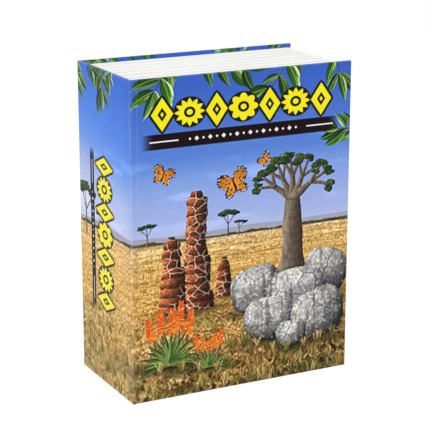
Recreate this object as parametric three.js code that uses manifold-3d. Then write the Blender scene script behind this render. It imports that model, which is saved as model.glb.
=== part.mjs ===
// A hardcover book that hides a steel safe box with a three-wheel number lock.
// Millimetres, +Z up. The closed book stands on the lower edges of its cover. The spine faces -X,
// the fore-edge +X, the front cover -Y and the back cover +Y, and the origin is under its middle.

import * as THREE from 'three';
import { mergeVertices } from 'three/addons/utils/BufferGeometryUtils.js';
import Module from 'manifold-3d';

const wasm = await Module();
wasm.setup();

// The whole book, closed
const bookHeight = 265;
const bookWidth = 200;
const bookThickness = 103;

// The cover: greyboard in a printed wrap, lined with endpaper
const boardThickness = 2.5;
const wrapThickness = 0.3;
const endpaperThickness = 0.3;
const turnInWidth = 15;
const endpaperInset = 4;
const jointWidth = 6.5;
const jointThickness = 0.8;
const jointDip = 0.2;

// The pages: glued gatherings with a window cut through them for the box
const pageSquare = 3;
const pageGap = 0.5;
const liningThickness = 0.5;
const gatheringCount = 8;
const gatheringGrooveWidth = 0.7;
const gatheringGrooveDepth = 0.5;
const gatheringSettle = 0.4;
const gatheringSettleShares = [0.2, 0.9, 0.45, 0.0, 0.7, 0.3, 1.0, 0.5];
const windowMarginEnds = 24;
const windowMarginFore = 22;
const windowMarginSpine = 18;

// The steel box and the ledge that its lid rests on
const boxClearance = 0.3;
const boxWall = 1.2;
const boxCornerRadius = 4;
const boxFloorFold = 2;
const rimSink = 4.2;
const matThickness = 2;
const matGap = 0.5;
const ledgeWidth = 6;
const ledgeThickness = 1.2;
const ledgeFlange = 8;
const ledgeStart = 8;
const weldGap = 0.3;

// The lid
const lidThickness = 1.2;
const lidSkirt = 6;
const lidClearance = 0.6;
const lidCornerRadius = 2.5;
const lidSeatGap = 0.3;
const fieldMargin = 5;
const fieldRise = 0.6;
const fieldCornerRadius = 5;

// The lid's hinge
const knuckleRadius = 2.2;
const knuckleCount = 5;
const knuckleGap = 0.3;
const leafThickness = 0.8;
const leafWidth = 13;
const hingeLength = 130;
const hingePinRadius = 1;
const hingePinHead = 0.8;
const hingePinHeadRadius = 1.6;
const pinClearance = 0.08;

// The lock's face plate
const bezelThickness = 1.5;
const bezelMargin = 3;
const bezelCornerRadius = 4;
const bezelEdge = 0.5;
const trackDepth = 0.4;

// The lock's case, behind the lid
const caseWidth = 26;
const caseWall = 1.5;
const caseEar = 11;
const caseCornerRadius = 1.5;
const caseFloorGap = 1.6;
const lockRunOut = 2;
const slideRoom = 22;

// The number wheels, their axle and their detent spring
const wheelCount = 3;
const wheelRadius = 8;
const wheelWidth = 7;
const wheelGap = 2;
const wheelProud = 1.2;
const wheelNotch = 0.7;
const digitCount = 10;
const digitFlatShare = 0.78;
const axleRadius = 1.5;
const axleClearance = 0.1;
const axleSeatGap = 0.05;
const wheelSlotGap = 0.6;
const springThickness = 0.4;
const springWidth = 10;
const springFingerWidth = 5;
const springTipGap = 0.4;
const springArchHalf = 4;

// The bolt and the slide that moves it
const boltThickness = 3;
const boltWidth = 12;
const boltDrop = 0.6;
const boltProud = 0.6;
const boltTail = 3;
const boltTravel = 6;
const boltTipBevel = 1;
const railWidth = 8;
const slotClearance = 0.3;
const stemSize = 5;
const buttonLength = 13;
const buttonWidth = 12;
const buttonThickness = 1.4;
const buttonCornerRadius = 2;
const buttonEdge = 0.4;
const buttonRibCount = 4;
const buttonRibWidth = 0.8;
const buttonRibHeight = 0.4;

// The two lock screws
const screwRadius = 1.5;
const screwClearance = 0.1;
const screwHeadRadius = 2.8;
const screwHeadHeight = 1.8;
const screwHeadEdge = 0.4;
const screwRecessLength = 3.2;
const screwRecessWidth = 0.8;
const screwRecessDepth = 1;
const bossRadius = 2.8;
const bossClearance = 0.3;
const bossFloor = 0.5;

// How far a cut runs past what it cuts, and how finely arcs are divided
const overrun = 1;
const roundSteps = 24;
const cornerSteps = 5;

// Faces of the closed book
const spineFaceX = -bookWidth / 2;
const foreEdgeX = bookWidth / 2;
const frontFaceY = -bookThickness / 2;
const backFaceY = bookThickness / 2;
const middleZ = bookHeight / 2;
const coverThickness = wrapThickness + boardThickness + wrapThickness;
const spineInnerX = spineFaceX + coverThickness;
const coverStartX = spineFaceX + jointWidth;
const frontInnerY = frontFaceY + coverThickness + endpaperThickness;
const backInnerY = backFaceY - coverThickness - endpaperThickness;

// Extent of the page block and of its window
const pagesX = [spineInnerX + liningThickness, foreEdgeX - pageSquare];
const pagesY = [frontInnerY + pageGap, backInnerY];
const pagesZ = [pageSquare, bookHeight - pageSquare];
const windowX = [pagesX[0] + windowMarginSpine, pagesX[1] - windowMarginFore];
const windowZ = [pagesZ[0] + windowMarginEnds, pagesZ[1] - windowMarginEnds];

// Extent of the box, outside and inside
const boxX = inset(windowX, boxClearance);
const boxZ = inset(windowZ, boxClearance);
const boxY = [pagesY[0] + rimSink, pagesY[1]];
const roomX = inset(boxX, boxWall);
const roomZ = inset(boxZ, boxWall);
const roomRadius = boxCornerRadius - boxWall;

// The hinge pin lies level with the lid's outer face
const hingeX = roomX[0] + knuckleRadius;
const hingeY = boxY[0];
const hingeZ = [middleZ - hingeLength / 2, middleZ + hingeLength / 2];

// Levels going into the box from the lid's outer face
const lidBackY = boxY[0] + lidThickness;
const skirtEndY = boxY[0] + lidSkirt;
const ledgeY = [skirtEndY + lidSeatGap, skirtEndY + lidSeatGap + ledgeThickness];
const boltY = [ledgeY[1] + boltDrop, ledgeY[1] + boltDrop + boltThickness];
const bezelFrontY = boxY[0] - bezelThickness;
const wheelY = bezelFrontY + wheelRadius - wheelProud;
const caseFloorY = wheelY + wheelRadius + caseFloorGap;

// Places across the lid and along the lock
const lidX = [hingeX + knuckleRadius + knuckleGap, roomX[1] - lidClearance];
const lidZ = inset(roomZ, lidClearance);
const ledgeOuterX = roomX[1] - weldGap;
const caseX = [
  ledgeOuterX - ledgeWidth - lockRunOut - caseWidth,
  ledgeOuterX - ledgeWidth - lockRunOut,
];
const lockX = (caseX[0] + caseX[1]) / 2;
const wheelRoom = wheelCount * wheelWidth + (wheelCount + 1) * wheelGap;
const caseLength = caseWall + slideRoom + caseWall + wheelRoom + caseWall;
const caseZ = [middleZ - caseLength / 2, middleZ + caseLength / 2];
const slideZ = [caseZ[0] + caseWall, caseZ[0] + caseWall + slideRoom];
const slideMiddleZ = (slideZ[0] + slideZ[1]) / 2;
const wheelRoomZ = [slideZ[1] + caseWall, caseZ[1] - caseWall];
const stemStartX = lockX - boltTravel / 2;
const screwZ = [caseZ[0] - caseEar / 2, caseZ[1] + caseEar / 2];

function inset([low, high], amount) {
  return [low + amount, high - amount];
}

function around(middle, halfWidth) {
  return [middle - halfWidth, middle + halfWidth];
}

function spread([low, high]) {
  return [low - overrun, high + overrun];
}

// A closed three.js geometry as a solid that can be joined and cut
function toSolid(geometry) {
  geometry.deleteAttribute('normal');
  geometry.deleteAttribute('uv');
  const merged = mergeVertices(geometry);
  const vertProperties = new Float32Array(merged.attributes.position.array);
  const triVerts = new Uint32Array(merged.index.array);
  return new wasm.Manifold(new wasm.Mesh({ numProp: 3, vertProperties, triVerts }));
}

function toGeometry(solid) {
  const mesh = solid.getMesh();
  const geometry = new THREE.BufferGeometry();
  geometry.setAttribute('position', new THREE.BufferAttribute(new Float32Array(mesh.vertProperties), 3));
  geometry.setIndex(new THREE.BufferAttribute(new Uint32Array(mesh.triVerts), 1));
  geometry.computeVertexNormals();
  return geometry;
}

function joined(solids) {
  return solids.reduce((whole, solid) => whole.add(solid));
}

function cut(solid, ...tools) {
  return tools.reduce((left, tool) => left.subtract(tool), solid);
}

// A straight-sided block between two values along each axis
function block(spanX, spanY, spanZ) {
  const size = [spanX, spanY, spanZ].map(([low, high]) => high - low);
  const middle = [spanX, spanY, spanZ].map(([low, high]) => (low + high) / 2);
  return toSolid(new THREE.BoxGeometry(...size).translate(...middle));
}

// Corner points of a rectangle in XZ with an arc at each corner, in order round the outline
function roundedPoints([left, right], [bottom, top], radius) {
  const centres = [
    [right - radius, bottom + radius, -Math.PI / 2],
    [right - radius, top - radius, 0],
    [left + radius, top - radius, Math.PI / 2],
    [left + radius, bottom + radius, Math.PI],
  ];
  return centres.flatMap(([x, z, from]) => (
    Array.from({ length: cornerSteps + 1 }, (_, step) => {
      const angle = from + (Math.PI / 2) * step / cornerSteps;
      return [x + radius * Math.cos(angle), z + radius * Math.sin(angle)];
    })
  ));
}

// A solid lofted through outlines of equally many points, each at its own depth along +Y
function lofted(layers) {
  const count = layers[0].points.length;
  const positions = layers.flatMap(({ y, points }) => points.flatMap(([x, z]) => [x, y, z]));
  const faces = [];
  const last = (layers.length - 1) * count;
  for (let corner = 1; corner + 1 < count; corner += 1) {
    faces.push(0, corner, corner + 1);
    faces.push(last, last + corner + 1, last + corner);
  }
  for (let layer = 0; layer + 1 < layers.length; layer += 1) {
    for (let corner = 0; corner < count; corner += 1) {
      const here = layer * count + corner;
      const beside = layer * count + (corner + 1) % count;
      faces.push(here, here + count, beside, beside, here + count, beside + count);
    }
  }
  const geometry = new THREE.BufferGeometry();
  geometry.setAttribute('position', new THREE.Float32BufferAttribute(positions, 3));
  geometry.setIndex(faces);
  return toSolid(geometry);
}

// A slab with rounded corners. Its edge slopes in by frontFold towards -Y and backFold towards +Y.
function roundedSlab(spanX, spanY, spanZ, radius, { frontFold = 0, backFold = 0 } = {}) {
  const outline = (fold) => roundedPoints(inset(spanX, fold), inset(spanZ, fold), radius);
  const layers = [];
  if (frontFold > 0) {
    layers.push({ y: spanY[0], points: outline(frontFold) });
  }
  layers.push({ y: spanY[0] + frontFold, points: outline(0) });
  layers.push({ y: spanY[1] - backFold, points: outline(0) });
  if (backFold > 0) {
    layers.push({ y: spanY[1], points: outline(backFold) });
  }
  return lofted(layers);
}

function rodAlongZ(x, y, spanZ, radius) {
  const geometry = new THREE.CylinderGeometry(radius, radius, spanZ[1] - spanZ[0], roundSteps);
  geometry.rotateX(Math.PI / 2);
  geometry.translate(x, y, (spanZ[0] + spanZ[1]) / 2);
  return toSolid(geometry);
}

// A round pin along Y whose far end may have another radius
function rodAlongY(x, spanY, z, radius, farRadius = radius) {
  const geometry = new THREE.CylinderGeometry(farRadius, radius, spanY[1] - spanY[0], roundSteps);
  geometry.translate(x, (spanY[0] + spanY[1]) / 2, z);
  return toSolid(geometry);
}

const paint = {
  board: { color: '#b9ad97', roughness: 0.95, metalness: 0 },
  print: { color: '#5b86dc', roughness: 0.35, metalness: 0 },
  paper: { color: '#f1eee6', roughness: 0.9, metalness: 0 },
  endpaper: { color: '#f4f2ec', roughness: 0.85, metalness: 0 },
  lining: { color: '#cfc6b4', roughness: 0.95, metalness: 0 },
  blackSteel: { color: '#1e1f22', roughness: 0.5, metalness: 0.4 },
  brightSteel: { color: '#b8bbbf', roughness: 0.3, metalness: 1 },
  blackPlastic: { color: '#16171a', roughness: 0.4, metalness: 0 },
  felt: { color: '#26282c', roughness: 1, metalness: 0 },
};

function piece(name, solid, finish) {
  const mesh = new THREE.Mesh(toGeometry(solid), new THREE.MeshStandardMaterial(paint[finish]));
  mesh.name = name;
  return mesh;
}

// Depths measured inwards from the front (outward -1) or back (outward 1) face of the book
function depthSpan(outward, from, to) {
  const levels = [from, to].map((depth) => outward * (bookThickness / 2 - depth));
  return levels.sort((a, b) => a - b);
}

// One cover board, the printed wrap folded over three of its edges, and its endpaper
function coverPieces(side, outward) {
  const boardDepths = [wrapThickness, wrapThickness + boardThickness];
  const boardZ = inset([0, bookHeight], wrapThickness);
  const boardX = [coverStartX, foreEdgeX - wrapThickness];
  const board = block(boardX, depthSpan(outward, ...boardDepths), boardZ);

  const sleeve = block([coverStartX, foreEdgeX], depthSpan(outward, 0, coverThickness), [0, bookHeight]);
  const hollowX = [coverStartX - overrun, boardX[1]];
  const hollow = block(hollowX, depthSpan(outward, ...boardDepths), boardZ);
  const opening = block(
    [coverStartX - overrun, foreEdgeX - turnInWidth],
    depthSpan(outward, boardThickness, coverThickness + overrun),
    inset([0, bookHeight], turnInWidth),
  );
  const endpaper = block(
    [coverStartX + endpaperInset, foreEdgeX - endpaperInset],
    depthSpan(outward, coverThickness, coverThickness + endpaperThickness),
    inset([0, bookHeight], endpaperInset),
  );
  return [
    piece(`${side}_board`, board, 'board'),
    piece(`${side}_wrap`, cut(sleeve, hollow, opening), 'print'),
    piece(`${side}_pastedown`, endpaper, 'endpaper'),
  ];
}

// The thin flexible strip between the spine and a cover board
function jointStrip(side, outward) {
  const spanY = depthSpan(outward, jointDip, jointDip + jointThickness);
  const strip = block([spineInnerX, coverStartX], spanY, inset([0, bookHeight], wrapThickness));
  return piece(`${side}_joint`, strip, 'print');
}

function spinePieces() {
  const boardX = [spineFaceX + wrapThickness, spineFaceX + wrapThickness + boardThickness];
  const boardY = inset([frontFaceY, backFaceY], wrapThickness);
  const board = block(boardX, boardY, inset([0, bookHeight], wrapThickness));
  const sleeve = block([spineFaceX, spineInnerX], [frontFaceY, backFaceY], [0, bookHeight]);
  const opening = block([boardX[0], spineInnerX + overrun], boardY, inset([0, bookHeight], turnInWidth));
  const lining = block([spineInnerX, pagesX[0]], pagesY, pagesZ);
  return [
    piece('spine_board', board, 'board'),
    piece('spine_wrap', cut(sleeve, board, opening), 'print'),
    piece('spine_lining', lining, 'lining'),
  ];
}

// The glued pages. Every gathering settles by its own amount, so that its edges stand back from
// the head, tail and fore-edge, and a narrow groove parts it from the next.
function pageBlock() {
  const pitch = (pagesY[1] - pagesY[0]) / gatheringCount;
  const edge = (y, back) => {
    const right = pagesX[1] - back;
    const [bottom, top] = inset(pagesZ, back);
    const left = pagesX[0];
    return { y, points: [[left, bottom], [right, bottom], [right, top], [left, top]] };
  };
  const layers = [];
  for (let index = 0; index < gatheringCount; index += 1) {
    const share = gatheringSettleShares[index % gatheringSettleShares.length];
    const start = pagesY[0] + index * pitch;
    const first = index === 0;
    const last = index === gatheringCount - 1;
    layers.push(edge(first ? start : start + gatheringGrooveWidth / 2, share * gatheringSettle));
    const end = last ? pagesY[1] : start + pitch - gatheringGrooveWidth / 2;
    layers.push(edge(end, share * gatheringSettle));
    if (!last) {
      layers.push(edge(start + pitch, gatheringSettle + gatheringGrooveDepth));
    }
  }
  const opening = block(windowX, spread(pagesY), windowZ);
  return piece('page_block', cut(lofted(layers), opening), 'paper');
}

// A tray folded from one sheet, open towards -Y, with a sloped fold round its floor
function safeBox() {
  const shell = roundedSlab(boxX, boxY, boxZ, boxCornerRadius, { backFold: boxFloorFold });
  const roomY = [boxY[0] - overrun, boxY[1] - boxWall];
  const room = roundedSlab(roomX, roomY, roomZ, roomRadius, { backFold: boxFloorFold });
  return piece('safe_box', cut(shell, room), 'blackSteel');
}

function floorMat() {
  const matY = [boxY[1] - boxWall - matThickness, boxY[1] - boxWall];
  const inwards = boxFloorFold + matGap;
  const mat = roundedSlab(inset(roomX, inwards), matY, inset(roomZ, inwards), roomRadius);
  return piece('floor_mat', mat, 'felt');
}

// Angle strip welded round three sides of the mouth. The lid rests on its flat leg, and the
// bolt catches behind the fore-edge side of that leg.
function lidLedge() {
  const ledgeX = [roomX[0] + ledgeStart, ledgeOuterX];
  const ledgeZ = inset(roomZ, weldGap);
  const radius = roomRadius - weldGap;
  const behind = [ledgeY[0], ledgeY[0] + ledgeFlange];
  const solid = roundedSlab([ledgeX[0] - roomRadius, ledgeX[1]], behind, ledgeZ, radius);
  const throughX = [roomX[0] - overrun, ledgeX[1] - ledgeWidth];
  const through = block(throughX, spread(behind), inset(ledgeZ, ledgeWidth));
  const hollowX = [roomX[0] - overrun, ledgeX[1] - ledgeThickness];
  const hollow = block(hollowX, [ledgeY[1], behind[1] + overrun], inset(ledgeZ, ledgeThickness));
  const start = block([roomX[0] - overrun, ledgeX[0]], spread(behind), spread(ledgeZ));
  return piece('lid_ledge', cut(solid, through, hollow, start), 'blackSteel');
}

// Where each knuckle lies along the hinge, and whether it belongs to the box or the lid
function knuckles() {
  const pitch = (hingeLength + knuckleGap) / knuckleCount;
  return Array.from({ length: knuckleCount }, (_, index) => {
    const start = hingeZ[0] + index * pitch;
    return { spanZ: [start, start + pitch - knuckleGap], onBox: index % 2 === 0 };
  });
}

function hingeLeaf(name, leaf, onBox, notchX, notchY, tail) {
  const own = knuckles().filter((knuckle) => knuckle.onBox === onBox);
  const other = knuckles().filter((knuckle) => knuckle.onBox !== onBox);
  const notches = other.map(({ spanZ }) => block(notchX, notchY, inset(spanZ, -knuckleGap)));
  const rolls = own.map(({ spanZ }) => rodAlongZ(hingeX, hingeY, spanZ, knuckleRadius));
  const tails = own.map(({ spanZ }) => block(tail[0], tail[1], spanZ));
  const bore = rodAlongZ(hingeX, hingeY, spread(hingeZ), hingePinRadius + pinClearance);
  return piece(name, cut(joined([cut(leaf, ...notches), ...rolls, ...tails]), bore), 'brightSteel');
}

function hingePieces() {
  const reach = knuckleRadius + knuckleGap;
  const boxLeafX = [roomX[0], roomX[0] + leafThickness];
  const boxLeaf = block(boxLeafX, [hingeY, hingeY + leafWidth], hingeZ);
  const lidLeafY = [lidBackY, lidBackY + leafThickness];
  const lidLeaf = block([hingeX, hingeX + leafWidth], lidLeafY, hingeZ);
  const pinSpan = [hingeZ[0] - knuckleGap, hingeZ[1] + knuckleGap];
  const pin = joined([
    rodAlongZ(hingeX, hingeY, inset(pinSpan, -hingePinHead), hingePinRadius),
    rodAlongZ(hingeX, hingeY, [pinSpan[0] - hingePinHead, pinSpan[0]], hingePinHeadRadius),
    rodAlongZ(hingeX, hingeY, [pinSpan[1], pinSpan[1] + hingePinHead], hingePinHeadRadius),
  ]);
  const boxTail = [boxLeafX, [hingeY, hingeY + reach]];
  const lidTailX = [hingeX + hingePinRadius + pinClearance, hingeX + knuckleRadius];
  const lidTail = [lidTailX, [hingeY, lidLeafY[1]]];
  const boxNotchX = [boxLeafX[0] - overrun, boxLeafX[1] + overrun];
  const lidNotchX = [hingeX - overrun, hingeX + reach];
  return {
    onBox: [
      hingeLeaf('box_hinge_leaf', boxLeaf, true, boxNotchX, [hingeY - overrun, hingeY + reach], boxTail),
      piece('hinge_pin', pin, 'brightSteel'),
    ],
    onLid: hingeLeaf('lid_hinge_leaf', lidLeaf, false, lidNotchX, spread(lidLeafY), lidTail),
  };
}

// The lid: a sheet with three edges turned down, a shallow pressed field and the lock's cut-out
function lidPanel() {
  const outside = roundedSlab(lidX, [boxY[0], skirtEndY], lidZ, lidCornerRadius);
  const hollowX = [lidX[0] - lidCornerRadius - overrun, lidX[1] - lidThickness];
  const hollowRadius = lidCornerRadius - lidThickness;
  const hollowY = [lidBackY, skirtEndY + overrun];
  const hollow = roundedSlab(hollowX, hollowY, inset(lidZ, lidThickness), hollowRadius);
  const fieldX = [hingeX + leafWidth + fieldMargin, caseX[0] - bezelMargin - fieldMargin];
  const fieldZ = inset(lidZ, lidSkirt + fieldMargin);
  const fold = { frontFold: fieldRise };
  const field = (level) => {
    const spanY = [level - fieldRise, level + lidThickness / 2];
    return roundedSlab(fieldX, spanY, fieldZ, fieldCornerRadius, fold);
  };
  const lockHole = block(inset(caseX, caseWall), spread([boxY[0], lidBackY]), [slideZ[0], wheelRoomZ[1]]);
  const bossHoles = screwZ.map((z) => {
    return rodAlongY(lockX, spread([boxY[0], lidBackY]), z, bossRadius + bossClearance);
  });
  const sheet = cut(outside, hollow).add(field(boxY[0]));
  const pressed = sheet.subtract(field(lidBackY));
  return piece('lid_panel', cut(pressed, lockHole, ...bossHoles), 'blackSteel');
}

function wheelCentres() {
  const first = wheelRoomZ[0] + wheelGap + wheelWidth / 2;
  return Array.from({ length: wheelCount }, (_, index) => first + index * (wheelWidth + wheelGap));
}

// The lock's face: a bevelled plate with a slot for each wheel and for the slide
function lockBezel() {
  const spanX = inset(caseX, -bezelMargin);
  const spanZ = inset(caseZ, -caseEar);
  const fold = { frontFold: bezelEdge };
  const face = roundedSlab(spanX, [bezelFrontY, boxY[0]], spanZ, bezelCornerRadius, fold);
  const sunk = wheelY - boxY[0];
  const halfSlot = Math.sqrt(wheelRadius ** 2 - sunk ** 2) + wheelSlotGap;
  const through = spread([bezelFrontY, boxY[0]]);
  const slotWidth = wheelWidth / 2 + wheelSlotGap;
  const wheelSlotX = around(lockX, halfSlot);
  const wheelSlots = wheelCentres().map((z) => block(wheelSlotX, through, around(z, slotWidth)));
  const stemHalf = stemSize / 2 + slotClearance;
  const slideX = [stemStartX - stemHalf, stemStartX + boltTravel + stemHalf];
  const slideSlot = block(slideX, through, around(slideMiddleZ, stemHalf));
  const trackHalf = buttonLength / 2 + slotClearance;
  const trackX = [stemStartX - trackHalf, stemStartX + boltTravel + trackHalf];
  const trackY = [bezelFrontY - overrun, bezelFrontY + trackDepth];
  const track = block(trackX, trackY, around(slideMiddleZ, buttonWidth / 2 + slotClearance));
  const bossY = [boxY[0] - bezelThickness / 2, lidBackY];
  const bosses = screwZ.map((z) => rodAlongY(lockX, bossY, z, bossRadius));
  const threadY = [bezelFrontY + bossFloor, lidBackY + overrun];
  const threads = screwZ.map((z) => rodAlongY(lockX, threadY, z, screwRadius + screwClearance));
  const body = joined([cut(face, ...wheelSlots, slideSlot, track), ...bosses]);
  return piece('lock_bezel', cut(body, ...threads), 'blackPlastic');
}

// The case behind the lid: one room for the slide, one for the wheels, and an ear at each end
function lockCase() {
  const outerY = [lidBackY, caseFloorY + caseWall];
  const shell = roundedSlab(caseX, outerY, caseZ, caseCornerRadius, { backFold: bezelEdge });
  const innerX = inset(caseX, caseWall);
  const roomY = [lidBackY - overrun, caseFloorY];
  const slideRoomSolid = block(innerX, roomY, slideZ);
  const wheelRoomSolid = block(innerX, roomY, wheelRoomZ);
  const rail = block(innerX, [boltY[1] + slotClearance, caseFloorY], around(slideMiddleZ, railWidth / 2));
  const exitZ = around(slideMiddleZ, boltWidth / 2 + slotClearance);
  const exit = block([innerX[1] - overrun, caseX[1] + overrun], inset(boltY, -slotClearance), exitZ);
  const axleHoleZ = [slideZ[1] - overrun, caseZ[1] + overrun];
  const axleHole = rodAlongZ(lockX, wheelY, axleHoleZ, axleRadius + axleSeatGap);
  const earX = around(lockX, bossRadius + caseWall);
  const ears = block(earX, [lidBackY, lidBackY + caseWall], inset(caseZ, -caseEar));
  const earHoles = screwZ.map((z) => {
    return rodAlongY(lockX, spread([lidBackY, lidBackY + caseWall]), z, screwRadius + screwClearance);
  });
  const hollow = cut(shell.add(ears), slideRoomSolid, wheelRoomSolid).add(rail);
  return piece('lock_case', cut(hollow, exit, axleHole, ...earHoles), 'blackPlastic');
}

// A number wheel about its own centre: ten flats parted by notches, and a bore along Z
function numberWheel(index, z) {
  const shape = new THREE.Shape();
  const step = Math.PI * 2 / digitCount;
  const point = (radius, angle) => [radius * Math.cos(angle), radius * Math.sin(angle)];
  for (let digit = 0; digit < digitCount; digit += 1) {
    const middle = digit * step - Math.PI / 2;
    const half = step * digitFlatShare / 2;
    const rim = [
      point(wheelRadius, middle - half),
      point(wheelRadius, middle + half),
      point(wheelRadius - wheelNotch, middle + step / 2),
    ];
    rim.forEach(([x, y], corner) => {
      if (digit === 0 && corner === 0) {
        shape.moveTo(x, y);
      } else {
        shape.lineTo(x, y);
      }
    });
  }
  const options = { depth: wheelWidth, bevelEnabled: false };
  const rim = new THREE.ExtrudeGeometry(shape, options);
  rim.translate(0, 0, -wheelWidth / 2);
  const bore = rodAlongZ(0, 0, spread(around(0, wheelWidth / 2)), axleRadius + axleClearance);
  const wheel = piece(`number_wheel_${index + 1}`, cut(toSolid(rim), bore), 'brightSteel');
  wheel.position.set(lockX, wheelY, z);
  return wheel;
}

// A thin strip on the case's floor with one bowed finger under each wheel
function detentSpring() {
  const strip = block(
    around(lockX, springWidth / 2),
    [caseFloorY - springThickness, caseFloorY],
    inset(wheelRoomZ, slotClearance),
  );
  const rise = caseFloorGap - springTipGap;
  const bow = new THREE.Shape();
  bow.moveTo(lockX - springArchHalf, caseFloorY);
  bow.absellipse(lockX, caseFloorY, springArchHalf, rise, Math.PI, Math.PI * 2);
  bow.lineTo(lockX + springArchHalf - springThickness, caseFloorY);
  bow.absellipse(
    lockX, caseFloorY, springArchHalf - springThickness, rise - springThickness, 0, -Math.PI, true,
  );
  const fingers = wheelCentres().map((z) => {
    const options = { depth: springFingerWidth, bevelEnabled: false, curveSegments: cornerSteps * 2 };
    const finger = new THREE.ExtrudeGeometry(bow, options);
    finger.translate(0, 0, z - springFingerWidth / 2);
    return toSolid(finger);
  });
  return piece('detent_spring', joined([strip, ...fingers]), 'brightSteel');
}

function lockScrew(name, z) {
  const seat = lidBackY + caseWall;
  const shank = rodAlongY(lockX, [bezelFrontY + bossFloor + slotClearance, seat], z, screwRadius);
  const headY = [seat, seat + screwHeadHeight];
  const head = rodAlongY(lockX, headY, z, screwHeadRadius, screwHeadRadius - screwHeadEdge);
  const recessY = [headY[1] - screwRecessDepth, headY[1] + overrun];
  const along = screwRecessLength / 2;
  const across = screwRecessWidth / 2;
  const upright = block(around(lockX, across), recessY, around(z, along));
  const level = block(around(lockX, along), recessY, around(z, across));
  return piece(name, cut(joined([shank, head]), upright, level), 'brightSteel');
}

function lockPieces() {
  const axleZ = [slideZ[1], caseZ[1]];
  return [
    lockBezel(),
    lockCase(),
    piece('wheel_axle', rodAlongZ(lockX, wheelY, axleZ, axleRadius), 'brightSteel'),
    detentSpring(),
    lockScrew('lock_screw_lower', screwZ[0]),
    lockScrew('lock_screw_upper', screwZ[1]),
  ];
}

// The thumb slide, with its stem down to the bolt, and the bolt with its bevelled tip
function slidePieces() {
  const topY = bezelFrontY + trackDepth - slotClearance;
  const padX = around(stemStartX, buttonLength / 2);
  const padZ = around(slideMiddleZ, buttonWidth / 2);
  const padY = [topY - buttonThickness, topY];
  const pad = roundedSlab(padX, padY, padZ, buttonCornerRadius, { frontFold: buttonEdge });
  const pitch = (buttonLength - buttonCornerRadius * 2) / buttonRibCount;
  const ribs = Array.from({ length: buttonRibCount }, (_, index) => {
    const x = padX[0] + buttonCornerRadius + (index + 0.5) * pitch;
    const ribY = [padY[0] - buttonRibHeight, padY[0] + buttonEdge];
    return block(around(x, buttonRibWidth / 2), ribY, inset(padZ, buttonCornerRadius));
  });
  const stemX = around(stemStartX, stemSize / 2);
  const stem = block(stemX, [padY[1] - buttonEdge, boltY[0]], around(slideMiddleZ, stemSize / 2));
  const boltX = [stemStartX - stemSize / 2 - boltTail, caseX[1] + boltProud];
  const bar = block(boltX, boltY, around(slideMiddleZ, boltWidth / 2));
  const corners = [-1, 1].map((sign) => {
    const half = boltTipBevel * Math.SQRT2 / 2;
    const geometry = new THREE.BoxGeometry(half * 2, boltThickness + overrun * 2, half * 2);
    geometry.rotateY(Math.PI / 4);
    geometry.translate(boltX[1], (boltY[0] + boltY[1]) / 2, slideMiddleZ + sign * boltWidth / 2);
    return toSolid(geometry);
  });
  return [
    piece('slide_button', joined([pad, ...ribs, stem]), 'brightSteel'),
    piece('lock_bolt', cut(bar, ...corners), 'brightSteel'),
  ];
}

const hinge = hingePieces();

const latch = new THREE.Group();
latch.add(...slidePieces());

const lid = new THREE.Group();
lid.add(lidPanel(), hinge.onLid, ...lockPieces(), latch);
wheelCentres().forEach((z, index) => lid.add(numberWheel(index, z)));

const frontCover = new THREE.Group();
frontCover.add(...coverPieces('front', -1));

const book = new THREE.Group();
book.add(
  ...spinePieces(),
  jointStrip('front', -1),
  jointStrip('back', 1),
  ...coverPieces('back', 1),
  pageBlock(),
  safeBox(),
  floorMat(),
  lidLedge(),
  ...hinge.onBox,
  lid,
  frontCover,
);

export default book;
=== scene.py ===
import math
import bmesh
import bpy
import numpy as np
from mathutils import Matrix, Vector


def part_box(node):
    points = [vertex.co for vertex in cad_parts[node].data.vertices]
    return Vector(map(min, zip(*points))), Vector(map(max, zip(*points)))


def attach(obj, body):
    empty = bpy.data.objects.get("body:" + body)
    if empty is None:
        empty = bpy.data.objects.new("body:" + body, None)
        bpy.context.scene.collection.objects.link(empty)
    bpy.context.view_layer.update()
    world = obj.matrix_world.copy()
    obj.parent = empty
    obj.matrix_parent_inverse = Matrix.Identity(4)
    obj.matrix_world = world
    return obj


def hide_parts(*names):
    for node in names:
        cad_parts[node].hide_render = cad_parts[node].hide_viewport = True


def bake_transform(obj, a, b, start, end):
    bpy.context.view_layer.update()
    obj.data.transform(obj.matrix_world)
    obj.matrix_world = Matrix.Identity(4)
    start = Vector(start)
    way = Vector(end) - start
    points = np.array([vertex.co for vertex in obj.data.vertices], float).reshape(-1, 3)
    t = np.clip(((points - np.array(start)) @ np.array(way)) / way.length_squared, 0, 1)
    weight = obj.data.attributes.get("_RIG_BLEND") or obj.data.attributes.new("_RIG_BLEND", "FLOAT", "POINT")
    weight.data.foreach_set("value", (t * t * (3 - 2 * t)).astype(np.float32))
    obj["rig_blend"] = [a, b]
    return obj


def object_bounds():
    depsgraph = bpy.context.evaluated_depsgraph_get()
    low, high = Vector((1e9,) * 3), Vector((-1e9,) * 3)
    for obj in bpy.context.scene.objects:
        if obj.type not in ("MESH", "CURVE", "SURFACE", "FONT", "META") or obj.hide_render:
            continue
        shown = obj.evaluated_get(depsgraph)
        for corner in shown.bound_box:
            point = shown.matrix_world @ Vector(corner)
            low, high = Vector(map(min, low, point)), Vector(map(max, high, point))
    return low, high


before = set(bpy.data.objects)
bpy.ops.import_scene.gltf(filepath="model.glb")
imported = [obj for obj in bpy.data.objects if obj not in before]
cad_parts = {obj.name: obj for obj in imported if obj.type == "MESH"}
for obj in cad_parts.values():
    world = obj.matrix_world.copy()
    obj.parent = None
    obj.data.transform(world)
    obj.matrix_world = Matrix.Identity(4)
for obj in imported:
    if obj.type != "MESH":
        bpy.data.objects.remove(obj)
cadLow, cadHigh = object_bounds()
mm = 0.001
sharpAngle = math.radians(38)    # between faces that meet at an edge and aren't shaded as one


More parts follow.
